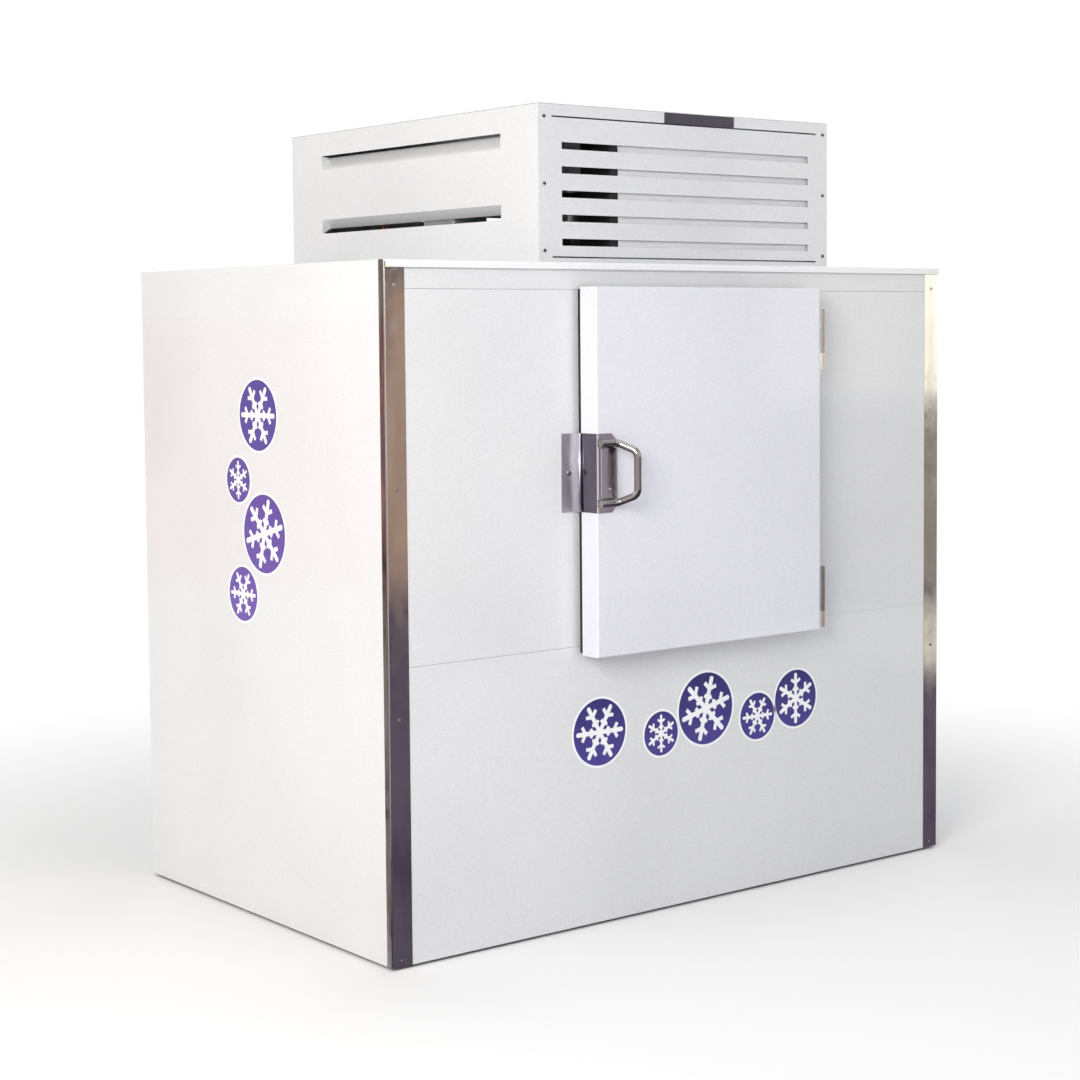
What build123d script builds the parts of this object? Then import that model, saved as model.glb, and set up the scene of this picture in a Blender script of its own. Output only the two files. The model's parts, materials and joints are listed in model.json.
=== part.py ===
from build123d import *
import os

# Outdoor bagged-ice merchandiser in millimetres, +Z up, front towards -Y.
# The origin is on the floor, under the middle of the cabinet.
os.makedirs("parts", exist_ok=True)

# Cabinet walls and skins
width = 1524.0
depth = 950.0
body_height = 1341.0
side_wall = 70.0
front_wall = 70.0
back_wall = 70.0
floor_wall = 70.0
roof_wall = 62.0
sheet = 1.2
liner_sheet = 1.0
skid_height = 30.0
skid_width = 70.0
skid_taper = 9.0
skid_inset = 60.0
pan_flange = 18.0
ground_gap = 6.0
side_return = 20.0
seam = 0.8
overrun = 5.0
fit_gap = 0.3

# Corner posts and their screws
post_front_flange = 46.0
post_side_flange = 18.0
post_bend = 2.4
post_screw_radius = 3.0
post_screw_head = 1.4
post_screw_shares = (0.0127, 0.356, 0.68, 0.965)

# Roof cover
rim_height = 14.0
rim_overhang = 5.0
pipe_clearance = 3.0

# Doorway and the front panels round it
door_width = 622.0
door_height = 734.0
door_drop = 49.0
door_shift = 7.0
door_lap = 25.0
lower_tab = 8.0
upper_tab = 20.0
breaker_wall = 3.0
breaker_lip = 8.0

# Door
door_thickness = 49.0
gasket_depth = 13.7
gasket_width = 22.0
gasket_inset = 2.0
gasket_base = 4.0
gasket_neck = 3.0
gasket_neck_width = 6.0
gasket_bulb_width = 18.0
gasket_bulb_round = 2.0
door_edge_round = 3.0
door_liner_sheet = 2.0
pillow_height = 9.0
pillow_margin = 14.0
pillow_chamfer = 4.0

# Hinges, each with a lower knuckle on the cabinet and an upper one on the door
hinge_height = 130.0
hinge_lower_knuckle = 35.0
hinge_low_rise = 5.0
hinge_high_drop = 44.0
knuckle_radius = 9.5
pin_radius = 4.0
pin_clearance = 0.05
pin_cap_height = 2.0
hinge_reach = 11.0
hinge_set_back = 10.0
hinge_leaf = 3.0
hinge_leaf_depth = 36.0
bracket_plate = 4.0
bracket_width = 50.0
bracket_hole_radius = 3.0
bracket_hole_edge = 12.0
washer_gap = 0.8
arm_width = 14.0

# Latch
latch_rise = 288.0
latch_height = 157.0
latch_sheet = 1.5
latch_side_depth = 47.0
latch_fold = 1.4
latch_ear_reach = 48.0
latch_ear_slope = 12.0
latch_plate_height = 102.0
latch_plate_rise = 4.0
latch_plate_chamfer = 1.5
latch_plate_inset = 6.0
strike_width = 36.0
strike_sheet = 2.0
strike_lip = 12.0
strike_gap = 3.0
strike_hole_radius = 3.5
strike_hole_inset = 17.0

# Door pull, a round bar bent into a D that leans out from the door
pull_radius = 7.5
pull_arm_spread = 120.0
pull_grip_spread = 86.0
pull_out = 36.0
pull_arm_start = 2.0
pull_arm_run = 42.0
pull_sweep = 23.0
pull_bend = 18.0

# Floor rack
slat_count = 9
slat_width = 60.0
slat_thickness = 6.0
bearer_height = 22.0
bearer_width = 30.0
bearer_inset = 90.0
rack_clearance = 12.0

# Roof housing
housing_width = 802.0
housing_depth = 911.0
housing_height = 311.0
housing_shift = 23.0
housing_setback = 23.0
housing_flange = 25.0
grille_slot_count = 5
grille_slot_margin = 58.5
grille_slot_height = 14.0
grille_slot_pitch = 47.5
grille_slot_low = 33.0
grille_hem = 5.0
grille_line_height = 3.0
grille_top_line = 26.0
grille_bottom_line = 9.0
grille_line_margin = 34.0
side_slot_margin = 120.3
side_slot_height = 31.0
side_slot_low = 87.0
side_slot_high = 229.0
side_flap_lean = 20.0
lower_flap_gap = 12.0
upper_flap_gap = 3.0
housing_screw_radius = 3.2
housing_screw_head = 2.0
housing_screw_edge = 14.0
housing_screw_low = 24.0

# Condensing unit on the roof
unit_left_gap = 161.0
unit_right_gap = 38.0
unit_depth = 590.0
unit_setback = 16.0
unit_sheet = 2.0
unit_rail = 18.0
coil_margin = 34.0
coil_height = 250.0
coil_depth = 44.0
fin_count = 40
fin_depth = 2.5
fin_gap_share = 0.25
end_plate = 1.5
air_seal = 14.0
shroud_depth = 40.0
shroud_sheet = 1.5
fan_radius = 108.0
fan_tip_gap = 6.0
fan_hub_radius = 26.0
fan_hub_length = 24.0
fan_blades = 5
blade_thickness = 2.5
blade_root_pitch_deg = 38.0
blade_tip_pitch_deg = 20.0
blade_root_chord_share = 0.3
blade_tip_chord_share = 0.75
shaft_radius = 4.0
shaft_clearance = 0.05
shaft_length = 40.0
motor_radius = 42.0
motor_length = 62.0
motor_bell = 6.0
motor_gap = 8.0
bracket_sheet = 3.0
bracket_foot = 40.0
compressor_radius = 88.0
compressor_height = 190.0
compressor_gap = 70.0
compressor_dome_share = 0.24
compressor_seam = 4.0
compressor_seam_height = 8.0
terminal_box = 46.0
foot_height = 10.0
foot_radius = 11.0
foot_plate = 3.0
stub_radius = 5.0
stub_length = 16.0
line_radius = 5.0
line_bend = 16.0
line_margin = 17.0
suction_drop = 60.0
receiver_radius = 42.0
receiver_length = 230.0
receiver_gap = 52.0
saddle_width = 24.0
saddle_reach_share = 0.8
saddle_spread_share = 0.5
saddle_rise = 4.0
drier_radius = 17.0
drier_length = 90.0
drier_taper = 12.0

# Electrical box, thermostat and the supply gland
box_width = 90.0
box_depth = 110.0
box_height = 165.0
box_gap = 24.0
box_setback = 322.0
thermostat_size = 44.0
thermostat_depth = 16.0
thermostat_share = 0.72
knob_radius = 17.0
knob_height = 15.0
knob_skirt = 4.0
knob_grip_width = 9.0
knob_shaft_radius = 3.0
knob_shaft_length = 10.0
knob_shaft_clearance = 0.05
gland_radius = 11.0
gland_length = 22.0
gland_nut = 8.0
gland_bore_radius = 5.0
gland_inset = 70.0
gland_rise = 44.0

# Evaporator unit under the ceiling
evap_width = 640.0
evap_depth = 250.0
evap_height = 176.0
evap_back_gap = 26.0
evap_sheet = 1.5
evap_return_margin = 24.0
evap_coil_margin = 40.0
evap_coil_height = 120.0
evap_coil_depth = 110.0
evap_coil_gap = 12.0
evap_fan_radius = 64.0
evap_fan_spread = 300.0
evap_hub_radius = 17.0
evap_hub_length = 18.0
evap_blade_pitch_deg = 20.0
evap_motor_radius = 26.0
evap_motor_length = 44.0
evap_motor_gap = 6.0
evap_shaft_length = 30.0
suction_inset = 40.0
liquid_inset = 80.0
drain_pan_depth = 18.0
drain_radius = 9.0
drain_wall = 2.0
drain_inset = 30.0
floor_drain_flange = 24.0
floor_drain_rim = 2.0

# Planes of the cabinet
side_x = width / 2
front_y = -depth / 2
back_y = depth / 2
skin_x = side_x - sheet
skin_y = front_y + sheet
foam_x = skin_x - sheet
foam_front = skin_y + sheet
foam_back = back_y - sheet
foam_bottom = skid_height + sheet
foam_top = body_height - sheet
inside_x = side_x - side_wall
inside_front = front_y + front_wall
inside_back = back_y - back_wall
inside_floor = skid_height + floor_wall
inside_top = body_height - roof_wall
door_left = door_shift - door_width / 2
door_right = door_shift + door_width / 2
door_top = body_height - door_drop
door_bottom = door_top - door_height
open_left = door_left + door_lap
open_right = door_right - door_lap
open_bottom = door_bottom + door_lap
open_top = door_top - door_lap
lower_seam = open_bottom - lower_tab
upper_seam = open_top + upper_tab
panel_x = skin_x - side_return - seam
door_back = skin_y - gasket_depth
door_front = door_back - door_thickness

# Planes of the roof housing and the places of what stands in it
house_left = housing_shift - housing_width / 2
house_right = housing_shift + housing_width / 2
house_front = front_y + housing_setback
house_back = house_front + housing_depth
house_top = body_height + housing_height
unit_left = house_left + unit_left_gap
unit_right = house_right - unit_right_gap
unit_shift = (unit_left + unit_right) / 2
unit_front = house_front + unit_setback
unit_back = unit_front + unit_depth
unit_top = body_height + unit_rail
coil_left = unit_left + coil_margin
coil_right = unit_right - coil_margin
coil_back = unit_front + coil_depth
coil_mid_y = unit_front + coil_depth / 2
fan_z = unit_top + coil_height / 2
shroud_back = coil_back + shroud_depth
motor_front = shroud_back + fan_hub_length / 2 + motor_gap
motor_back = motor_front + motor_length
compressor_y = motor_back + bracket_sheet + compressor_gap + compressor_radius
compressor_base = unit_top + foot_height + foot_plate
receiver_y = compressor_y + compressor_radius + receiver_gap + receiver_radius
receiver_z = unit_top + saddle_rise + receiver_radius
box_left = house_left + sheet + box_gap
box_front = house_front + box_setback
thermostat_z = body_height + box_height * thermostat_share
thermostat_x = box_left + box_width / 2

# Planes of the evaporator unit
evap_back = inside_back - evap_back_gap
evap_front = evap_back - evap_depth
evap_low = inside_top - liner_sheet - evap_height
evap_top = inside_top - liner_sheet
evap_shell_low = evap_low + drain_pan_depth
evap_coil_x = evap_width / 2 - evap_coil_margin
evap_coil_back = evap_back - evap_coil_gap
evap_coil_front = evap_coil_back - evap_coil_depth
evap_coil_low = evap_low + evap_sheet
evap_coil_top = evap_coil_low + evap_coil_height
evap_fan_z = (evap_shell_low + evap_top) / 2
evap_fan_y = evap_front + evap_hub_length / 2 + evap_sheet
evap_motor_front = evap_fan_y + evap_hub_length / 2 + evap_motor_gap
evap_motor_back = evap_motor_front + evap_motor_length
evap_fan_places = (-evap_fan_spread / 2, evap_fan_spread / 2)
suction_x = -evap_coil_x + suction_inset
liquid_x = -evap_coil_x + liquid_inset
suction_y = evap_coil_front + evap_coil_depth / 3
liquid_y = evap_coil_back - evap_coil_depth / 3
evap_stub_top = evap_coil_top + stub_length
drain_x = -evap_width / 2 + drain_inset
drain_y = evap_back - drain_inset


def slab(low, high, mode=Mode.ADD):
    """Add or cut a block between two corners."""
    x0, y0, z0 = low
    x1, y1, z1 = high
    with BuildSketch(Plane.XY.offset(z0)) as outline:
        with Locations(((x0 + x1) / 2, (y0 + y1) / 2)):
            Rectangle(x1 - x0, y1 - y0)
    extrude(outline.sketch, amount=z1 - z0, mode=mode)


def tray(low, high, open_axis, open_side, wall):
    """Add a folded tray: a block hollowed from its low (-1) or high (1) side."""
    slab(low, high)
    inner_low = [v + wall for v in low]
    inner_high = [v - wall for v in high]
    if open_side > 0:
        inner_high[open_axis] = high[open_axis] + overrun
    else:
        inner_low[open_axis] = low[open_axis] - overrun
    slab(inner_low, inner_high, Mode.SUBTRACT)


def frame_ring(low, high, band, near_y, far_y, mode=Mode.ADD):
    """Add or cut a rectangular ring that faces the front, from its outer corners."""
    middle = ((low[0] + high[0]) / 2, (low[1] + high[1]) / 2)
    with BuildSketch(Plane.XZ.offset(-far_y)) as outline:
        with Locations(middle):
            Rectangle(high[0] - low[0], high[1] - low[1])
            Rectangle(
                high[0] - low[0] - 2 * band, high[1] - low[1] - 2 * band, mode=Mode.SUBTRACT
            )
    extrude(outline.sketch, amount=far_y - near_y, mode=mode)


def bar(start, direction, radius, length, mode=Mode.ADD):
    """Add or cut a round bar from a point along a direction."""
    with BuildSketch(Plane(origin=start, z_dir=direction)) as outline:
        Circle(radius)
    extrude(outline.sketch, amount=length, mode=mode)


def bent_tube(points, radius, bend):
    """Add a round tube along straight runs joined by tangent arcs."""
    with BuildLine() as route:
        FilletPolyline(*points, radius=bend)
    with BuildSketch(Plane(origin=route.line @ 0, z_dir=route.line % 0)) as outline:
        Circle(radius)
    sweep(outline.sketch, path=route.line)


def fan_blade(hub, tip, root_pitch, tip_pitch):
    """Make one blade, twisted from root to tip, that stands out along +X from an axis along +Z."""
    sections = []
    for reach, pitch, share in (
        (hub - blade_thickness, root_pitch, blade_root_chord_share),
        (tip, tip_pitch, blade_tip_chord_share),
    ):
        with BuildSketch(Plane(origin=(reach, 0, 0), x_dir=(0, 1, 0), z_dir=(1, 0, 0))) as section:
            Rectangle(tip * share, blade_thickness, rotation=pitch)
        sections.append(section.sketch)
    return loft(sections, ruled=True)


def fan_wheel(x, y, z, blade, hub, hub_length, shaft_run):
    """Add a fan on a shaft that runs back along +Y, blades all round the hub."""
    bar((x, y - hub_length / 2, z), (0, 1, 0), hub, hub_length)
    bar((x, y + hub_length / 2, z), (0, 1, 0), shaft_radius, shaft_run)
    with Locations(Plane(origin=(x, y, z), z_dir=(0, 1, 0)).location):
        with PolarLocations(0, fan_blades):
            add(blade)


def finned_coil(left, right, front, back, low, high):
    """Add a coil block whose front and back are combed into fins."""
    pitch = (right - left) / fin_count
    with BuildSketch(Plane.XY.offset(low)) as outline:
        with Locations(((left + right) / 2, (front + back) / 2)):
            Rectangle(right - left, back - front)
        for face_y in (front + fin_depth / 2, back - fin_depth / 2):
            with Locations(((left + right) / 2, face_y)):
                with GridLocations(pitch, 0, fin_count, 1):
                    Rectangle(pitch * fin_gap_share, fin_depth, mode=Mode.SUBTRACT)
    extrude(outline.sketch, amount=high - low)


# Base: three skids and a floor pan with down-turned edges
with BuildPart() as base_skids:
    for x in (-inside_x + skid_inset, 0, inside_x - skid_inset):
        with BuildSketch(Plane.XZ.offset(-back_y + skid_inset)):
            with BuildLine():
                Polyline(
                    (x - skid_width / 2, 0),
                    (x + skid_width / 2, 0),
                    (x + skid_width / 2 - skid_taper, skid_height),
                    (x - skid_width / 2 + skid_taper, skid_height),
                    close=True,
                )
            make_face()
        extrude(amount=depth - 2 * skid_inset)

with BuildPart() as base_pan:
    slab((-foam_x, foam_front, skid_height), (foam_x, foam_back, foam_bottom))
    for y0, y1 in ((foam_front, foam_front + sheet), (foam_back - sheet, foam_back)):
        slab((-foam_x, y0, skid_height - pan_flange), (foam_x, y1, skid_height))
    bar((drain_x, drain_y, skid_height - sheet), (0, 0, 1), drain_radius, 3 * sheet, Mode.SUBTRACT)

# Foam slabs, butted together inside the skins
with BuildPart() as floor_insulation:
    slab((-inside_x, inside_front, foam_bottom), (inside_x, inside_back, inside_floor))
    bar((drain_x, drain_y, 0), (0, 0, 1), drain_radius, inside_floor + overrun, Mode.SUBTRACT)

with BuildPart() as ceiling_insulation:
    slab((-inside_x, inside_front, inside_top), (inside_x, inside_back, foam_top))
    for x, y in ((suction_x, suction_y), (liquid_x, liquid_y)):
        bar(
            (x, y, inside_top - overrun), (0, 0, 1),
            line_radius + pipe_clearance, roof_wall + 2 * overrun, Mode.SUBTRACT,
        )

with BuildPart() as left_insulation:
    slab((-foam_x, foam_front, foam_bottom), (-inside_x, foam_back, foam_top))

with BuildPart() as right_insulation:
    mirror(left_insulation.part, about=Plane.YZ)

with BuildPart() as back_insulation:
    slab((-inside_x, inside_back, foam_bottom), (inside_x, foam_back, foam_top))

with BuildPart() as front_insulation:
    slab((-inside_x, foam_front, foam_bottom), (open_left, inside_front, foam_top))
    slab((open_right, foam_front, foam_bottom), (inside_x, inside_front, foam_top))
    slab((open_left, foam_front, foam_bottom), (open_right, inside_front, open_bottom))
    slab((open_left, foam_front, open_top), (open_right, inside_front, foam_top))

# Inner liner, a closed box with the doorway cut in its front
with BuildPart() as inner_liner:
    slab((-inside_x, inside_front, inside_floor), (inside_x, inside_back, inside_top))
    slab(
        (-inside_x + liner_sheet, inside_front + liner_sheet, inside_floor + liner_sheet),
        (inside_x - liner_sheet, inside_back - liner_sheet, inside_top - liner_sheet),
        Mode.SUBTRACT,
    )
    slab(
        (open_left, inside_front - overrun, open_bottom),
        (open_right, inside_front + overrun, open_top),
        Mode.SUBTRACT,
    )
    for x, y in ((suction_x, suction_y), (liquid_x, liquid_y)):
        bar(
            (x, y, inside_top - overrun), (0, 0, 1),
            line_radius + pipe_clearance, 2 * overrun, Mode.SUBTRACT,
        )
    bar(
        (drain_x, drain_y, inside_floor - overrun), (0, 0, 1),
        drain_radius, 2 * overrun, Mode.SUBTRACT,
    )

# Outer skins
with BuildPart() as left_side_panel:
    slab((-skin_x, skin_y, ground_gap), (-foam_x, back_y, body_height))
    for y0, y1 in ((skin_y, foam_front), (foam_back, back_y)):
        slab((-skin_x, y0, ground_gap), (-skin_x + side_return, y1, foam_top - rim_height))

with BuildPart() as right_side_panel:
    mirror(left_side_panel.part, about=Plane.YZ)

with BuildPart() as back_panel:
    slab((-panel_x, foam_back, ground_gap), (panel_x, back_y, body_height - rim_height - seam))

with BuildPart() as lower_front_panel:
    slab((-panel_x, skin_y, ground_gap), (panel_x, foam_front, lower_seam - seam / 2))
    slab((open_left, skin_y, lower_seam - seam), (open_right, foam_front, open_bottom))

with BuildPart() as left_front_panel:
    slab(
        (-panel_x, skin_y, lower_seam + seam / 2),
        (open_left - seam, foam_front, upper_seam - seam / 2),
    )

with BuildPart() as right_front_panel:
    slab(
        (open_right + seam, skin_y, lower_seam + seam / 2),
        (panel_x, foam_front, upper_seam - seam / 2),
    )

with BuildPart() as header_panel:
    slab((-panel_x, skin_y, upper_seam + seam / 2), (panel_x, foam_front, foam_top))
    slab((open_left, skin_y, open_top), (open_right, foam_front, upper_seam + seam))

# Stainless corner posts, folded angles with a rounded bend
with BuildPart() as left_corner_post:
    with BuildSketch(Plane.XY.offset(ground_gap)):
        with BuildLine():
            Polyline(
                (-side_x, front_y + post_side_flange),
                (-side_x, front_y),
                (-side_x + post_front_flange, front_y),
                (-side_x + post_front_flange, skin_y),
                (-skin_x, skin_y),
                (-skin_x, front_y + post_side_flange),
                close=True,
            )
        make_face()
        fillet(vertices().sort_by(Axis.X).group_by(Axis.Y)[0].sort_by(Axis.X)[0], post_bend)
    extrude(amount=body_height - ground_gap)
    slab(
        (-side_x + post_bend, front_y - overrun, body_height - rim_height - seam),
        (-side_x + post_front_flange + overrun, skin_y + overrun, body_height + overrun),
        Mode.SUBTRACT,
    )

with BuildPart() as right_corner_post:
    mirror(left_corner_post.part, about=Plane.YZ)

# Roof cover with a rolled rim along the front and a square one along the back
with BuildPart() as top_cover:
    with BuildSketch(Plane.YZ.offset(-foam_x)):
        with BuildLine():
            Polyline(
                (front_y - rim_overhang, body_height - rim_height),
                (front_y - rim_overhang, body_height),
                (back_y, body_height),
                (back_y, body_height - rim_height),
                close=True,
            )
        make_face()
        fillet(vertices().group_by(Axis.Y)[-1].sort_by(Axis.X)[0], rim_overhang + sheet)
        with BuildLine():
            Polyline(
                (front_y - rim_overhang + sheet, body_height - rim_height - overrun),
                (front_y - rim_overhang + sheet, foam_top - rim_overhang),
                (skin_y, foam_top),
                (foam_back, foam_top),
                (foam_back, body_height - rim_height - overrun),
                close=True,
            )
        make_face(mode=Mode.SUBTRACT)
    extrude(amount=2 * foam_x)
    for x, y in ((suction_x, suction_y), (liquid_x, liquid_y)):
        bar(
            (x, y, body_height - overrun), (0, 0, 1),
            line_radius + pipe_clearance, 2 * overrun, Mode.SUBTRACT,
        )

# Plastic frame that lines the doorway and clips over the liner inside
with BuildPart() as door_breaker_frame:
    liner_face = inside_front + liner_sheet
    frame_ring((open_left, open_bottom), (open_right, open_top), breaker_wall, skin_y, liner_face)
    frame_ring(
        (open_left - breaker_lip, open_bottom - breaker_lip),
        (open_right + breaker_lip, open_top + breaker_lip),
        breaker_lip + breaker_wall, liner_face, liner_face + breaker_wall,
    )

# Duckboard that keeps the bags off the liner
with BuildPart() as floor_rack:
    rack_x = inside_x - liner_sheet - rack_clearance
    rack_front = inside_front + liner_sheet + rack_clearance
    rack_back = inside_back - liner_sheet - evap_back_gap - 2 * drain_inset
    rack_low = inside_floor + liner_sheet
    for x in (-rack_x + bearer_inset, 0, rack_x - bearer_inset):
        slab(
            (x - bearer_width / 2, rack_front, rack_low),
            (x + bearer_width / 2, rack_back, rack_low + bearer_height),
        )
    slat_pitch = (rack_back - rack_front - slat_width) / (slat_count - 1)
    for index in range(slat_count):
        y = rack_front + index * slat_pitch
        slab(
            (-rack_x, y, rack_low + bearer_height),
            (rack_x, y + slat_width, rack_low + bearer_height + slat_thickness),
        )

# Door: pressed outer shell, foam, pillowed inner liner and magnetic gasket
with BuildPart() as door_shell:
    tray((door_left, door_front, door_bottom), (door_right, door_back, door_top), 1, 1, sheet)
    fillet(edges().group_by(Axis.Y)[0], door_edge_round)

with BuildPart() as door_insulation:
    slab(
        (door_left + sheet, door_front + sheet, door_bottom + sheet),
        (door_right - sheet, door_back - door_liner_sheet, door_top - sheet),
    )

with BuildPart() as door_liner:
    slab(
        (door_left + sheet, door_back - door_liner_sheet, door_bottom + sheet),
        (door_right - sheet, door_back, door_top - sheet),
    )
    pillow_edge = gasket_inset + gasket_width + pillow_margin
    slab(
        (door_left + pillow_edge, door_back, door_bottom + pillow_edge),
        (door_right - pillow_edge, door_back + pillow_height, door_top - pillow_edge),
    )
    chamfer(edges().group_by(Axis.Y)[-1], pillow_chamfer)

with BuildPart() as door_gasket:
    bulb_inset = gasket_inset + (gasket_width - gasket_bulb_width) / 2
    neck_inset = gasket_inset + (gasket_width - gasket_neck_width) / 2
    bulb_start = door_back + gasket_base + gasket_neck
    for inset, band, near, far in (
        (bulb_inset, gasket_bulb_width, bulb_start, skin_y - fit_gap),
        (neck_inset, gasket_neck_width, door_back + gasket_base, bulb_start),
        (gasket_inset, gasket_width, door_back, door_back + gasket_base),
    ):
        frame_ring(
            (door_left + inset, door_bottom + inset),
            (door_right - inset, door_top - inset),
            band, near, far,
        )
    fillet(edges().group_by(Axis.Y)[-1], gasket_bulb_round)

# Hinges: the pin stands in the cabinet's knuckle and the door's knuckle turns on it
axis_x = door_right + hinge_reach
axis_y = door_front + hinge_set_back
hinge_lows = (door_bottom + hinge_low_rise, door_top - hinge_high_drop - hinge_height)

with BuildPart() as hinge_brackets:
    for low in hinge_lows:
        slab(
            (axis_x - arm_width / 2, skin_y - bracket_plate, low),
            (axis_x - arm_width / 2 + bracket_width, skin_y, low + hinge_height),
        )
        slab(
            (axis_x - arm_width / 2, axis_y, low),
            (axis_x + arm_width / 2, skin_y - bracket_plate, low + hinge_lower_knuckle),
        )
        bar((axis_x, axis_y, low), (0, 0, 1), knuckle_radius, hinge_lower_knuckle)
        bar((axis_x, axis_y, low), (0, 0, 1), pin_radius, hinge_lower_knuckle, Mode.SUBTRACT)
        for z in (low + bracket_hole_edge, low + hinge_height - bracket_hole_edge):
            bar(
                (axis_x - arm_width / 2 + bracket_width - bracket_hole_edge, skin_y, z),
                (0, -1, 0), bracket_hole_radius, bracket_plate, Mode.SUBTRACT,
            )

with BuildPart() as hinge_pins:
    for low in hinge_lows:
        bar((axis_x, axis_y, low), (0, 0, 1), pin_radius, hinge_height + washer_gap)
        bar(
            (axis_x, axis_y, low + hinge_height + washer_gap), (0, 0, 1),
            knuckle_radius - pin_cap_height, pin_cap_height,
        )

with BuildPart() as hinge_door_leaves:
    for low in hinge_lows:
        leaf_low = low + hinge_lower_knuckle + washer_gap
        leaf_height = hinge_height - hinge_lower_knuckle - washer_gap
        slab(
            (door_right, axis_y, leaf_low),
            (door_right + hinge_leaf, axis_y + hinge_leaf_depth, leaf_low + leaf_height),
        )
        slab(
            (door_right, axis_y, leaf_low),
            (axis_x, axis_y + knuckle_radius, leaf_low + leaf_height),
        )
        bar((axis_x, axis_y, leaf_low), (0, 0, 1), knuckle_radius, leaf_height)
        bar(
            (axis_x, axis_y, leaf_low), (0, 0, 1),
            pin_radius + pin_clearance, leaf_height, Mode.SUBTRACT,
        )

# Latch: folded bracket round the door's edge, keeper angle on the cabinet
latch_low = door_bottom + latch_rise
latch_mid = latch_low + latch_height / 2
latch_high = latch_low + latch_height

with BuildPart() as latch_bracket:
    with BuildSketch(Plane.XZ.offset(-door_front)):
        with BuildLine():
            Polyline(
                (door_left - latch_sheet, latch_low),
                (door_left + latch_ear_reach - latch_ear_slope, latch_low),
                (door_left + latch_ear_reach, latch_low + latch_ear_slope),
                (door_left + latch_ear_reach, latch_high - latch_ear_slope),
                (door_left + latch_ear_reach - latch_ear_slope, latch_high),
                (door_left - latch_sheet, latch_high),
                close=True,
            )
        make_face()
    extrude(amount=latch_sheet)
    slab(
        (door_left - latch_sheet, door_front, latch_low),
        (door_left, door_front + latch_side_depth, latch_high),
    )
    fillet(edges().filter_by(Axis.Z).group_by(Axis.Y)[0].sort_by(Axis.X)[0], latch_fold)
    slab(
        (
            door_left + latch_plate_inset,
            door_front - latch_sheet - latch_plate_rise,
            latch_mid - latch_plate_height / 2,
        ),
        (
            door_left + latch_ear_reach,
            door_front - latch_sheet,
            latch_mid + latch_plate_height / 2,
        ),
    )
    chamfer(edges().group_by(Axis.Y)[0], latch_plate_chamfer)

with BuildPart() as door_pull:
    arm_x = door_left + pull_arm_start
    bend_x = arm_x + pull_arm_run
    grip_x = bend_x + pull_sweep
    arm_y = door_front - latch_sheet - pull_radius
    grip_y = arm_y - pull_out
    bent_tube(
        (
            (arm_x, arm_y, latch_mid + pull_arm_spread / 2),
            (bend_x, arm_y, latch_mid + pull_arm_spread / 2),
            (grip_x, grip_y, latch_mid + pull_grip_spread / 2),
            (grip_x, grip_y, latch_mid - pull_grip_spread / 2),
            (bend_x, arm_y, latch_mid - pull_arm_spread / 2),
            (arm_x, arm_y, latch_mid - pull_arm_spread / 2),
        ),
        pull_radius, pull_bend,
    )

with BuildPart() as strike_plate:
    strike_right = door_left - latch_sheet - strike_gap
    slab(
        (strike_right - strike_width, skin_y - strike_sheet, latch_low),
        (strike_right, skin_y, latch_high),
    )
    slab(
        (strike_right - strike_sheet, skin_y - strike_lip, latch_low),
        (strike_right, skin_y - strike_sheet, latch_high),
    )
    bar(
        (strike_right - strike_hole_inset, skin_y, latch_mid), (0, -1, 0),
        strike_hole_radius, strike_sheet, Mode.SUBTRACT,
    )

# Roof housing: slotted front grille, louvred sides and back, plain lid
slot_left = house_left + grille_slot_margin
slot_right = house_right - grille_slot_margin

with BuildPart() as grille_panel:
    grille_back = house_front + sheet
    slab((house_left, house_front, body_height), (house_right, grille_back, house_top - sheet))
    for index in range(grille_slot_count):
        slot_low = body_height + grille_slot_low + index * grille_slot_pitch
        for edge in (slot_low - sheet, slot_low + grille_slot_height):
            slab(
                (slot_left, grille_back, edge),
                (slot_right, grille_back + grille_hem, edge + sheet),
            )
        slab(
            (slot_left, house_front - overrun, slot_low),
            (
                slot_right,
                grille_back + grille_hem + overrun,
                slot_low + grille_slot_height,
            ),
            Mode.SUBTRACT,
        )
    for line_z in (body_height + grille_bottom_line, house_top - grille_top_line):
        slab(
            (house_left + grille_line_margin, house_front - overrun, line_z),
            (house_right - grille_line_margin, grille_back + overrun, line_z + grille_line_height),
            Mode.SUBTRACT,
        )


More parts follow.
